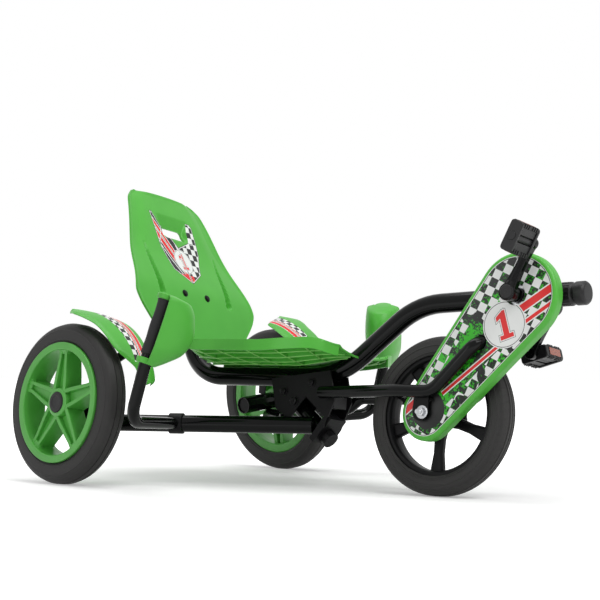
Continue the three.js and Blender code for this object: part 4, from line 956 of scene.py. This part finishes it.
for side in (-1, 1):
    for lane, bow in ((0.93, 0.3), (0.78, 0.5), (0.6, 0.75), (0.4, 1.0), (0.2, 1.1)):
        line = []
        for i in range(25):
            t = i / 24
            x = PAN[0] + PAN[1] * mix(0.04, 0.97, t)
            wide = PAN[2] * pan_width(mix(0.04, 0.97, t))
            line.append((x, side * wide * lane * (1 - 0.35 * bow * (2 * t - 1) ** 2)))
        rib(line)
    for start, end in ((0.1, 0.0), (0.25, 0.12), (0.4, 0.3), (0.55, 0.52), (0.7, 0.72), (0.84, 0.9)):
        line = []
        for i in range(13):
            t = i / 12
            share = mix(start, end, t)
            line.append((PAN[0] + PAN[1] * mix(0.04, 0.96, share),
                         side * mix(24, PAN[2] * pan_width(share) * 0.96, t)))
        rib(line)
piece("seat_pan_shell", join(pan_form, *ribs), "front_frame", FRONT, "green",
      ["seat_pan"], 0.8, 45, (), 60)
piece("seat_pan_rib_painted_highlights", join(*rib_highlight_beads), "front_frame", FRONT, "edge")

# Chain guard: a dished shell with a broad rounded rim


def belt(foot, foot_radius, head, head_radius, count=40, straight=20):
    """The outline round two circles, anticlockwise seen from the right, starting at the foot."""
    heading = math.atan2(head[1] - foot[1], head[0] - foot[0])
    lean = math.acos((foot_radius - head_radius) / math.hypot(head[0] - foot[0], head[1] - foot[1]))

    def on(end, turn):
        (x, z), radius = end
        return x + radius * math.cos(turn), z + radius * math.sin(turn)

    ends = ((foot, foot_radius), (head, head_radius))
    arcs = ((lean, math.tau - lean), (-lean, lean))
    points = []
    for end, other, (start, stop), turn in zip(ends, ends[::-1], arcs, (heading - lean, heading + lean)):
        points += [on(end, heading + mix(start, stop, i / count)) for i in range(count + 1)]
        a, b = on(end, turn), on(other, turn)
        shares = [i / straight for i in range(1, straight)]
        points += [(mix(a[0], b[0], share), mix(a[1], b[1], share)) for share in shares]
    return points


def guard_ring(inset, y):
    outline = belt(GUARD_FOOT, GUARD_RADII[0] - inset, GUARD_HEAD, GUARD_RADII[1] - inset)
    return [(x, y, z) for x, z in outline]


def guard_hole(y, radius=21):
    rows = []
    for x, _, z in guard_ring(20, 0):
        turn = math.atan2(z - CRANK[2], x - CRANK[0])
        rows.append((CRANK[0] + radius * math.cos(turn), y, CRANK[2] + radius * math.sin(turn)))
    return rows


rim_profile = [(0, -GUARD_BACK), (0, -GUARD_FACE + GUARD_RIM)]
for i in range(1, 9):
    turn = math.pi / 2 * i / 8
    rim_profile.append((GUARD_RIM * (1 - math.cos(turn)), -GUARD_FACE + GUARD_RIM * (1 - math.sin(turn))))
guard_rows = [guard_ring(inset, y) for inset, y in rim_profile]
# The printed panel lies a little behind the crown of the rim
PANEL, PANEL_BACK = -GUARD_FACE + 0.6, -GUARD_FACE + 2.6
guard_rows += [guard_ring(9.6, PANEL), guard_ring(40, PANEL), guard_hole(PANEL)]
guard_rows += [guard_hole(PANEL_BACK), guard_ring(12, PANEL_BACK)]
GUARD_WALL, INNER_RIM = 2.4, 6.5
for i in range(8, 0, -2):
    turn = math.pi / 2 * i / 8
    inset = GUARD_WALL + INNER_RIM * (1 - math.cos(turn))
    guard_rows.append(guard_ring(inset, -GUARD_FACE + GUARD_WALL + INNER_RIM * (1 - math.sin(turn))))
guard_rows.append(guard_ring(GUARD_WALL, -GUARD_BACK))
guard_form = lattice(guard_rows, round_rows=True, round_columns=True)
fork_cut = tube(fork_path(-1), FORK + 1.6, 36)
axle_cut = bar((AXLE[0], -80, AXLE[2]), (AXLE[0], -30, AXLE[2]), 6, 32)
piece("chain_guard_shell", guard_form, "front_frame", FRONT, "guard",
      ["chain_guard"], 0.35, 30, [fork_cut, axle_cut], 50)

# Tyres and rims, each about its own axle with Z pointing outwards


def tyre(radius, half, bead_radius, grooves, rings):
    """A tyre's section: rounded walls, a flatter crown with fine grooves, and the beads on the rim."""
    shape = curve([(0, 0.88), (0.05, 0.955), (0.21, 1), (0.5, 0.985), (0.68, 0.93), (0.82, 0.81), (0.9, 0.67),
                   (0.96, 0.46), (0.99, 0.24), (1, 0)])
    tall = radius - bead_radius
    shares = [i / 26 for i in range(20)] + [0.78, 0.82, 0.86, 0.9, 0.93, 0.955, 0.972, 0.985, 0.993]
    marks = [(bead_radius + tall * share, 0) for share in shares]
    marks = [mark for mark in marks if all(abs(mark[0] - ring) > 1.4 for ring in rings)]
    for ring in rings:
        marks += [(ring - 1.3, 0), (ring - 0.7, 0.8), (ring + 0.7, 0.8), (ring + 1.3, 0)]
    outer = [(r, half * shape((r - bead_radius) / tall) + lift) for r, lift in sorted(marks)]
    outer.append((radius, 0))
    profile = outer + [(r, -h) for r, h in outer[-2::-1]]
    cuts = []
    for at in grooves:
        cuts += [(radius - 0.1, at + 1.3), (radius - 1.6, at + 0.7)]
        cuts += [(radius - 1.6, at - 0.7), (radius - 0.1, at - 1.3)]
    if cuts:
        low, high = min(grooves) - 1.3, max(grooves) + 1.3
        start = [p for p in profile if p[1] > high]
        end = [p for p in profile if p[1] < low]
        profile = start + sorted(cuts, key=lambda p: -p[1]) + end
    inner = [(bead_radius + tall * share + (1.5 if share < 0.5 else -4.5), half * shape(share) * 0.84)
             for share in (0.08, 0.31, 0.54, 0.78, 0.955)]
    return profile + [(r, -h) for r, h in inner] + inner[::-1]


def wheel_place(place, centre, outward):
    return place @ metres(facing(centre, outward))


front_place = wheel_place(FRONT, AXLE, (0, -1, 0))
SIPES, SIPE_STEPS, SIPE_DEPTH = 52, 8, 1.7


def front_sipe(step, radius, height):
    """Slanted cuts from the tread's outer grooves over both shoulders."""
    off = abs(height)
    turn = (step + round(off * 0.35) + (SIPE_STEPS // 2 if height > 0 else 0)) % SIPE_STEPS
    on_tread = radius > 141 and 10 < off < 25 and off > 186 - radius - 10 * (radius > 150)
    return SIPE_DEPTH if on_tread and turn == 0 else 0


front_tyre_profile = tyre(FRONT_RADIUS, 26, 119.5, (8.5, 0, -8.5), (125.5, 138.5))
front_tyre_form = lathe(front_tyre_profile, SIPES * SIPE_STEPS, front_sipe)
piece("front_tyre_tread", front_tyre_form, "front_wheel", front_place,
      "front_tyre", ["front_tyre"], 0, 28)


def spoke_rows(stations, sections, turn):
    """A spoke lofted outwards from the hub: each station gives its radius and its section."""
    rows = []
    for radius, section in zip(stations, sections):
        rows.append([Matrix.Rotation(turn, 3, "Z") @ Vector((radius, p[0], p[1])) for p in section])
    return lattice(rows, round_columns=True, caps=True)


def valve_form(stem, cap, foot, heading, turn):
    """A tyre valve, a stem with its cap, turned to its place between two spokes."""
    parts = placed(join(disc(*stem, 0.4, 20), disc(*cap, 1.2, 20)), facing(foot, heading, (0, 1, 0)))
    return placed(parts, Matrix.Rotation(math.radians(turn), 4, "Z"))


front_rim_profile = rounded([(120.6, 20), (112.6, 20), (109.5, 14), (108.5, 6), (108.5, -6), (109.5, -14),
                             (112.6, -20), (120.6, -20), (120.6, -17), (116.6, -13), (112.8, 0),
                             (116.6, 13), (120.6, 17)], [1.2, 2, 3, 3, 3, 3, 2, 1.2, 0.5, 1, 3, 1, 0.5])
front_parts = [lathe(front_rim_profile, 144)]
front_hub = rounded([(5.4, 33), (13, 33), (15, 26), (24, 20), (24, -20), (15, -26), (13, -33), (5.4, -33)],
                    [0.3, 2, 4, 5, 5, 4, 2, 0.3])
front_parts.append(lathe(front_hub, 72))
SPOKES = 5
front_shares = (0, 0.12, 0.3, 0.6, 0.85, 1)
for i in range(SPOKES):
    sections = []
    for share in front_shares:
        wide = 15.5 - 5.5 * smooth(share / 0.4) + 4.5 * smooth((share - 0.55) / 0.45)
        sections.append(rounded([(wide, 5), (wide - 4, 8.5), (-wide + 4, 8.5), (-wide, 5), (-wide, -5),
                                 (-wide + 4, -8.5), (wide - 4, -8.5), (wide, -5)], 2.4, 3))
    stations = [mix(20, 110.5, share) for share in front_shares]
    front_parts.append(spoke_rows(stations, sections, math.tau * i / SPOKES - math.pi / 2))
front_parts.append(valve_form((3.2, 0, 14), (4, 12, 26), (109, 0, 0), (-1, 0, 0.5), 162))
piece("front_rim_cast", join(*front_parts), "front_wheel", front_place, "cast",
      ["front_rim"], 0.5, 35, (), 50)

REAR_CENTRE = (-727.4, 324.15, 170.44)
CAMBER = math.radians(6.37)
RIM_FACE = 32.6


def wheel_axes(side):
    """A rear wheel's centre, the outward line of its axle and its upright direction."""
    centre = Vector((REAR_CENTRE[0], side * REAR_CENTRE[1], REAR_CENTRE[2]))
    outward = Vector((0, side * math.cos(CAMBER), math.sin(CAMBER)))
    return centre, outward, Vector((1, 0, 0)).cross(outward) * side


def rear_rim():
    ring = rounded([(128.6, 31), (127.6, 32.6), (114.5, RIM_FACE), (112.6, 30.5), (111.6, 18), (107.5, -8),
                    (107.5, -21), (110, -25), (126, -25), (128.6, -23), (128.6, -18), (117, -10),
                    (117, 12), (128.6, 20)],
                   [1.4, 1.2, 1.4, 3, 6, 6, 2, 2, 1.5, 1, 2, 4, 4, 2])
    hub = rounded([(22.5, 31), (30, 29), (31.5, 20), (31.5, -14), (27, -25), (9, -25), (9, 26), (22.5, 26)],
                  [1, 3, 2, 3, 2, 1, 1, 1])
    parts = [lathe(ring, 160), lathe(hub, 96)]
    shares = (0, 0.14, 0.3, 0.55, 0.8, 0.93, 1)
    for i in range(SPOKES):
        turn = math.pi / 2 + math.tau * i / SPOKES
        for side in (-1, 1):
            sections = []
            for share in shares:
                middle = side * (16.5 - 8.2 * smooth(share * 0.9 + 0.1 * share * share))
                top = 28 - 3.5 * share + 2.2 * smooth((share - 0.86) / 0.14)
                low = -15 + 2 * share
                crown, base = 4.4 - 0.7 * share, 7.4 - 1.2 * share
                outer, inner = side * base, -side * (base - 2.2)
                sections.append([(middle + outer, low), (middle + side * crown, top - 0.8),
                                 (middle + side * (crown - 0.9), top), (middle - side * (crown - 0.9), top),
                                 (middle - side * crown, top - 0.8), (middle + inner, low)])
            stations = [mix(24, 113.5, share) for share in shares]
            parts.append(spoke_rows(stations, sections, turn))
        web = []
        for share in shares:
            half = 16.5 - 8.2 * smooth(share)
            web.append([(half, 12.5), (half, 16 + 2 * share), (-half, 16 + 2 * share), (-half, 12.5)])
        parts.append(spoke_rows([mix(24, 112.5, share) for share in shares], web, turn))
        knuckle = []
        for share in (0, 0.4, 1):
            half = 14.5 + 6 * share * share
            knuckle.append([(half, 16), (half - 2, 24 + 2 * share), (-half + 2, 24 + 2 * share), (-half, 16)])
        parts.append(spoke_rows([104, 109, 113], knuckle, turn))
    return join(*parts)


rear_rim_form = rear_rim()
rear_tyre_form = lathe(tyre(REAR_RADIUS, 28.1, 128.2, (7, -7), (134, 156)), 200)
cap_face = [(0, 22), (22.3, 22), (22.3, 30.2), (19.5, 33.2), (13.5, 33.4), (13, 32.6), (0, 32.6)]
cap = join(turned(rounded(cap_face, [0, 0.5, 1, 1.2, 0.4, 0.4, 0], 4, False), 72),
           lathe(rounded([(21.8, 31.5), (20.6, 32.9), (19.4, 33.2), (19.4, 30), (21.8, 30)], 0.3), 72))
for name, side in SIDES:
    centre, outward, _ = wheel_axes(side)
    place = wheel_place(REAR, centre, outward)
    body = f"rear_wheel_{name}"
    piece(f"rear_tyre_{name}_tread", rear_tyre_form, body, place,
          "rear_tyre", [f"rear_tyre_{name}"], 0, 60)
    piece(f"rear_rim_{name}_cast", rear_rim_form, body, place, "rim", [f"rear_rim_{name}"], 0.6, 35, (), 40)
    piece(f"hub_cap_{name}_face", cap, body, place, "black", [f"hub_cap_{name}"], 0.3)
    stem = valve_form((3, 0, 12), (3.8, 10, 24), (108, 0, -8), (-1, 0, 0.35), -36)
    piece(f"valve_{name}", stem, body, place, "black", (), 0.2)

# Crank arms and pedals
ARM_GAP, ARM_HALF = 19.5, 7
ARM_PLANE = GUARD_FACE + ARM_GAP + ARM_HALF
ARM_LENGTH = 101
CRANK_TURN = math.radians(65)


def arm_form():
    """A forged arm lying along X: two bosses, a waisted bar and a shallow fluting."""
    parts = []
    rows = []
    for share in [i / 14 for i in range(15)]:
        x = ARM_LENGTH * share
        half = mix(15, 10.8, share) - 4 * math.sin(math.pi * share) ** 0.8
        thick = 6.6
        dip = 1.6 * smooth(share / 0.2) * smooth((1 - share) / 0.2)
        rows.append([(x, half, thick - 1.5), (x, half - 1.5, thick), (x, half * 0.45, thick),
                     (x, half * 0.25, thick - dip), (x, -half * 0.25, thick - dip), (x, -half * 0.45, thick),
                     (x, -half + 1.5, thick), (x, -half, thick - 1.5), (x, -half, -thick), (x, half, -thick)])
    parts.append(lattice(rows, round_columns=True, caps=True))
    parts.append(disc(17, -7, 7, 2.2, 56))
    parts.append(disc(15.5, -25.6, -6, 1.2, 56))
    parts.append(placed(disc(12, -7, 7, 1.8, 48), Matrix.Translation((ARM_LENGTH, 0, 0))))
    return join(*parts)


def boss_cap():
    return join(turned(rounded([(0, 6), (13.4, 6), (13.4, 8.2), (11.5, 9.2), (9, 8.6), (6.5, 9.4), (0, 9.4)],
                               [0, 0.4, 0.6, 0.8, 0.8, 0.8, 0], 4, False), 56), disc(3.4, 8, 9.9, 0.4, 6))


for name, side, turn in (("right", -1, CRANK_TURN), ("left", 1, CRANK_TURN + math.pi)):
    heading = (math.cos(turn), 0, math.sin(turn))
    place = FRONT @ metres(facing((CRANK[0], side * ARM_PLANE, CRANK[2]), (0, side, 0), heading))
    piece(f"crank_arm_{name}_forging", arm_form(), "crank", place, "gloss",
          [f"crank_arm_{name}"], 0.5, 35)
    piece(f"crank_cap_{name}", boss_cap(), "crank", place, "black", (), 0.2)

PEDAL_GAP = 0.5
PEDAL_START = ARM_PLANE + ARM_HALF + PEDAL_GAP


def pedal_form():
    """A moulded block pedal along Z: a ribbed cage round a barrel, open on both sides of it."""
    low, high = 1.5, 68.5
    outline = rounded([(30, -13.5), (30, 13.5), (-30, 13.5), (-30, -13.5)], 7, 5)
    parts = []
    for bottom, top in ((low, 9), (61, high)):
        rows = [[(p[0] * k, p[1] * k, level) for p in outline]
                for level, k in ((bottom, 0.94), (bottom + 1.5, 1), (top - 1, 1), (top, 0.96))]
        parts.append(lattice(rows, round_columns=True, caps=True))
    parts.append(disc(10.5, low, high, 1.5, 40))
    for x in (-26, 26):
        parts.append(block(7.5, 24.5, 56, (x, 0, 35)))
        for z in (13, 20.5, 28, 42, 49.5, 57):
            parts.append(block(9, 27.4, 3, (x, 0, z)))
    for x in (-15.5, 15.5):
        parts.append(block(16, 3.2, 56, (x, 9.5, 35)))
        parts.append(block(16, 3.2, 56, (x, -9.5, 35)))
        for z in (18, 35, 52):
            parts.append(block(16, 22, 2.6, (x, 0, z)))
    return join(*parts, disc(8.5, 67.5, 69.9, 1, 40))


for name, side, turn, tilt in (("right", -1, CRANK_TURN, 66), ("left", 1, CRANK_TURN + math.pi, 17)):
    end = Vector((CRANK[0] + ARM_LENGTH * math.cos(turn), side * PEDAL_START,
                  CRANK[2] + ARM_LENGTH * math.sin(turn)))
    lean = math.radians(tilt)
    place = FRONT @ metres(facing(end, (0, side, 0), (math.cos(lean), 0, math.sin(lean))))
    body = f"pedal_{name}_body"
    piece(f"pedal_{name}_cage", pedal_form(), body, place, "black", [f"pedal_{name}"], 0.5, 35)
    lenses = [block(1.6, 15, 44, (x, 0, 35)) for x in (-30.2, 30.2)]
    piece(f"pedal_reflectors_{name}", join(*lenses), body, place, "amber", (), 0.5)

# Rear frame: the V, its sleeve and the steering levers with their grips and hand guards


V_APEX, V_SLOPE, V_HEIGHT, V_RADIUS = 256.5, 0.6126, 130, 18
V_NEAR, V_FAR = 292, 722
CLAMP = 544
LEVER_RADIUS = 12.5


def v_point(side, setback):
    return Vector((-setback, side * (setback - V_APEX) * V_SLOPE, V_HEIGHT))


sleeve_profile = rounded([(7.6, -55), (17.5, -55), (17.5, 50), (7.6, 50)], [0.4, 1.5, 1.5, 0.4])
sleeve_form = placed(lathe(sleeve_profile, 56), facing(PIVOT, BOLT_AXIS.normalized(), (0, 1, 0)))
piece("steering_sleeve_skin", sleeve_form, "rear_frame", REAR, "gloss", ["steering_sleeve"])


def lever_corners(side):
    root = v_point(side, CLAMP)
    elbow = Vector((-466, side * 371, 141))
    start = root + (elbow - root).normalized() * 18
    return [start, elbow, Vector((-426, side * 365, 263.5)), Vector((-402, side * 331, 392))]


BOWL_TURN = math.radians(62)
BOWL_REACH, BOWL_HALF, BOWL_COLLAR = 75, 38, 18.5


def grip_axes(side):
    """A grip's foot, axis and length, with the hand guard's middle and rim directions."""
    _, _, wrist, top = lever_corners(side)
    axis = top - wrist
    length = axis.length
    axis.normalize()
    forward = Vector((1, 0, 0))
    forward = (forward - axis * forward.dot(axis)).normalized()
    sideways = axis.cross(forward) * side
    cosine, sine = math.cos(BOWL_TURN), math.sin(BOWL_TURN)
    return wrist, axis, length, forward * cosine - sideways * sine, sideways * cosine + forward * sine


bowl_reach = curve([(0, 0.25), (0.1, 0.5), (0.3, 0.88), (0.5, 1), (0.75, 0.9), (0.96, 0.66), (1, 0.25)])
bowl_width = curve([(0, 0.5), (0.1, 0.72), (0.3, 0.95), (0.6, 1), (0.96, 0.9), (1, 0.5)])


def bowl_surface(side):
    wrist, axis, length, forward, sideways = grip_axes(side)

    def at(u, v):
        angle = math.pi * (u - 0.5)
        reach = max(BOWL_REACH * bowl_reach(v), BOWL_COLLAR)
        wide = max(BOWL_HALF * bowl_width(v), BOWL_COLLAR)
        lip = 1.2 * smooth((abs(u - 0.5) - 0.485) / 0.015)
        point = wrist + axis * (-6 + (length + 6) * v)
        point = point + forward * (reach * math.cos(angle) - 0.8 * lip)
        return point + sideways * ((wide + lip) * math.sin(angle))
    return at


for name, side in SIDES:
    start, end = v_point(side, V_NEAR), v_point(side, V_FAR)
    run = (end - start).normalized()
    piece(f"rear_tube_{name}_skin", bar(start, end, V_RADIUS, 40), "rear_frame", REAR, "gloss",
          [f"rear_tube_{name}"])
    ring = placed(lathe(rounded([(18.3, -15), (22, -15), (22, 15), (18.3, 15)], [0.3, 1.4, 1.4, 0.3]), 56),
                  facing(v_point(side, CLAMP), run))
    back = run.cross(Vector((0, 0, 1))).normalized() * side
    ear = placed(block(26, 16, 13), facing(v_point(side, CLAMP) + back * -20, run, (0, 0, 1)))
    clamp_bolt = placed(join(disc(6.2, 0, 3.4, 1.0, 32), disc(3.2, 2.2, 3.6, 0.3, 6)),
                        facing(v_point(side, CLAMP) + back * -28, back * -1))
    piece(f"lever_clamp_{name}_skin", join(ring, ear), "rear_frame", REAR, "satin",
          [f"lever_clamp_{name}"], 1.2)
    piece(f"clamp_bolt_{name}", clamp_bolt, "rear_frame", REAR, "steel")
    lever = tube(bent(lever_corners(side), [42, 120]), LEVER_RADIUS, 32)
    piece(f"steering_lever_{name}_skin", lever, "rear_frame", REAR, "gloss",
          [f"steering_lever_{name}"])
    wrist, axis, length, forward, sideways = grip_axes(side)
    grip_path = [wrist + axis * mix(12, length - 4, i / 40) for i in range(41)]

    def grip_size(share):
        return 15.2 + 0.8 * smooth((share - 0.9) / 0.06) + 0.5 * math.cos(share * 2 * math.tau)

    piece(f"grip_{name}_sleeve", tube(grip_path, grip_size, 40, 2.2), "rear_frame", REAR, "soft",
          [f"grip_{name}"])
    bowl = sheet(bowl_surface(side), 72, 72, -2.6 * side)
    foot_collar = rounded([(13.2, -7), (19.6, -7), (19.6, 5), (13.2, 5)], 1.4)
    collars = [placed(lathe(foot_collar, 64), facing(wrist, axis)),
               placed(disc(19.4, length - 9, length + 2.2, 2.4, 64), facing(wrist, axis))]
    piece(f"hand_guard_{name}_shell", join(bowl, *collars), "rear_frame", REAR, "green",
          [f"hand_guard_{name}"], 0.7, 50, (), 60)

# Mudguards over the rear tyres, with a turned edge and a print along the inner half
guard_outer = curve([(0, 0.69), (0.02, 0.58), (0.06, 0.48), (0.14, 0.41), (0.22, 0.15), (0.3, -0.1),
                     (0.4, -0.2), (0.62, -0.27), (0.74, -0.4), (0.85, -0.48), (1, -0.25)])
guard_inner = curve([(0, 0.81), (0.02, 0.91), (0.05, 0.97), (0.6, 1), (0.82, 0.86), (1, -0.15)])
TYRE_TOP = REAR_RADIUS + 22
FENDER_HALF, FENDER_CROWN = 80, 6
FENDER_START, FENDER_END = math.radians(15), math.radians(88)


def around_wheel(side, angle, radius, inboard):
    centre, outward, upright = wheel_axes(side)
    point = centre - outward * inboard
    return point + Vector((1, 0, 0)) * radius * math.cos(angle) + upright * radius * math.sin(angle)


def fender_surface(side):
    def at(u, v):
        outer, inner = FENDER_HALF * guard_outer(v), FENDER_HALF * guard_inner(v)
        reach = 2 * u - 1
        edge = 2.5 * smooth((abs(reach) - 0.93) / 0.07)
        radius = TYRE_TOP + FENDER_CROWN * (1 - reach * reach) - edge
        return around_wheel(side, mix(FENDER_START, FENDER_END, v), radius, mix(outer, inner, u))
    return at


def store_flow(made, side):
    """Stores how far each corner lies along and across its mudguard, for the print."""
    layer = made.data.uv_layers.new(name="UVMap")
    centre, outward, upright = wheel_axes(side)
    for loop in made.data.loops:
        away = made.data.vertices[loop.vertex_index].co / MM - centre
        angle = math.atan2(away.dot(upright), away.x)
        along = (angle - FENDER_START) * TYRE_TOP
        layer.data[loop.index].uv = (along * MM, -away.dot(outward) * MM)


for name, side in SIDES:
    shell = sheet(fender_surface(side), 22, 110, 2.6 * side)
    made = piece(f"mudguard_{name}_shell", shell, "rear_frame", REAR, "mudguard",
                 [f"mudguard_{name}"], 0.0, 50, (), 60)
    store_flow(made, side)

# CAD pieces that keep their shape, with the width of their softened edges
for look, bevel, names in (
        ("black", 0.4, "seat_post_plug chain_guard_back"),
        ("soft", 3.0, "rubber_bumper"),
        ("satin", 0.8, "dropout_right dropout_left bracket_plate_right bracket_plate_left steering_yoke "
                       "seat_bracket mudguard_stay_right mudguard_stay_left"),
        ("gloss", 0.5, "stub_axle_right stub_axle_left"),
        ("steel", 0.4, "front_axle chain hub_sprocket chainring pedal_pin_right pedal_pin_left"),
        ("satin", 0.4, "steering_bolt crank_spindle wheel_spindle_right wheel_spindle_left"),
        ("soft", 0.0, "front_inner_tube rear_inner_tube_right rear_inner_tube_left")):
    for name in names.split():
        repaint(name, look, bevel)

# Bolts on the steering bracket
for name, side in SIDES:
    for x, z, reach in ((-372, 196, 7.5), (-300, 216, 7.5), (-342, 176, 9)):
        bolt = join(disc(reach + 2.5, 0, 1.5, 0.4), hexagon(reach, 1.3, 6.5, 1.0), disc(3.4, 6, 8.5, 0.6, 24))
        place_bolt = facing((x, side * 32, z), (0, side, 0))
        piece(f"bracket_bolt_{name}_{-x}", placed(bolt, place_bolt), "front_frame", FRONT, "satin",
              (), 0.2)

# Floor, light and camera
FLOOR_HALF = 14
floor_corners = [(a * FLOOR_HALF, b * FLOOR_HALF, 0) for a, b in ((-1, -1), (1, -1), (1, 1), (-1, 1))]
floor_mesh = bpy.data.meshes.new("floor")
floor_mesh.from_pydata(floor_corners, [], [[0, 1, 2, 3]])
floor = bpy.data.objects.new("floor", floor_mesh)
bpy.context.scene.collection.objects.link(floor)


def seen_by_eye(tree):
    """1 for rays from the camera and in gloss or glass, otherwise 0."""
    path = tree.nodes.new("ShaderNodeLightPath")
    kinds = ("Is Camera Ray", "Is Glossy Ray", "Is Transmission Ray")
    rays = [Value(tree, path.outputs[kind]) for kind in kinds]
    return rays[0].most(rays[1]).most(rays[2])


floor_paint = bpy.data.materials.new("floor")
floor_paint.use_nodes = True
tree = floor_paint.node_tree
tree.nodes.clear()
spread = tree.nodes.new("ShaderNodeBsdfDiffuse")
spread.inputs["Color"].default_value = (0.8, 0.8, 0.8, 1)
glow = tree.nodes.new("ShaderNodeEmission")
# A painted shadow: the floor's glow for camera rays is low in an ellipse round the kart and rises to white
# beyond it
PAINTED_SHADOW_GLOW = 0.3
PAINTED_SHADOW_REACH = (0.72, 0.56)
place = tree.nodes.new("ShaderNodeTexCoord")
split = tree.nodes.new("ShaderNodeSeparateXYZ")
tree.links.new(place.outputs["Object"], split.inputs[0])
across, along = [Value(tree, split.outputs[i]) * (1 / PAINTED_SHADOW_REACH[i]) for i in range(2)]
away = across.reach(along)
painted_shadow_fade = ((away - 0.75) * 1.2).most(0.0).least(1.0) * (1 - PAINTED_SHADOW_GLOW)
tree.links.new((seen_by_eye(tree) * (painted_shadow_fade + PAINTED_SHADOW_GLOW)).socket, glow.inputs["Strength"])
both = tree.nodes.new("ShaderNodeAddShader")
tree.links.new(spread.outputs[0], both.inputs[0])
tree.links.new(glow.outputs[0], both.inputs[1])
out = tree.nodes.new("ShaderNodeOutputMaterial")
tree.links.new(both.outputs[0], out.inputs[0])
floor_mesh.materials.append(floor_paint)

world = bpy.data.worlds.new("studio")
bpy.context.scene.world = world
world.use_nodes = True
tree = world.node_tree
sky = tree.nodes["Background"]
sky.inputs["Color"].default_value = (1, 1, 1, 1)
WORLD_LIGHT = 0.4
tree.links.new((seen_by_eye(tree) * (1 - WORLD_LIGHT) + WORLD_LIGHT).socket, sky.inputs["Strength"])

EYE = Vector((2.1516, -2.3259, 0.2663))
YAW, PITCH, ROLL = 2.3298, 0.0396, 0.0051
look = Vector((math.cos(PITCH) * math.cos(YAW), math.cos(PITCH) * math.sin(YAW), math.sin(PITCH)))
level = Vector((math.sin(YAW), -math.cos(YAW), 0))
rise = level.cross(look)
right = level * math.cos(ROLL) + rise * math.sin(ROLL)
up = rise * math.cos(ROLL) - level * math.sin(ROLL)


def soft_light(name, place, target, width, height, power):
    data = bpy.data.lights.new(name, "AREA")
    data.shape = "RECTANGLE"
    data.size, data.size_y = width, height
    data.energy = power
    lamp = bpy.data.objects.new(name, data)
    lamp.location = place
    lamp.rotation_euler = (Vector(target) - Vector(place)).to_track_quat("-Z", "Y").to_euler()
    bpy.context.scene.collection.objects.link(lamp)


CENTRE = Vector((0, 0, 0.3))
LAMPS = (
    ("key", CENTRE - look * 1.7 + right * 1.5 + Vector((0, 0, 2.3)), 1.6, 1.6, 46),
    ("top", CENTRE + Vector((0, 0, 2.8)), 3.0, 1.2, 34),
    ("fill", CENTRE - look * 2.0 - right * 2.2 + Vector((0, 0, 0.9)), 0.5, 1.8, 11))
for lamp_name, place, width, height, power in LAMPS:
    soft_light(lamp_name, place, CENTRE, width, height, power)

camera_data = bpy.data.cameras.new("camera")
camera_data.sensor_width = 36
FRAME_PIXELS, FOCAL_PIXELS = 600, 1508.41
camera_data.lens = FOCAL_PIXELS / FRAME_PIXELS * camera_data.sensor_width
camera_data.clip_start = 0.05
camera = bpy.data.objects.new("camera", camera_data)
camera.matrix_world = Matrix.Translation(EYE) @ Matrix((right, up, -look)).transposed().to_4x4()
bpy.context.scene.collection.objects.link(camera)
bpy.context.scene.camera = camera
bpy.context.scene.view_settings.view_transform = "Standard"

bpy.context.view_layer.update()
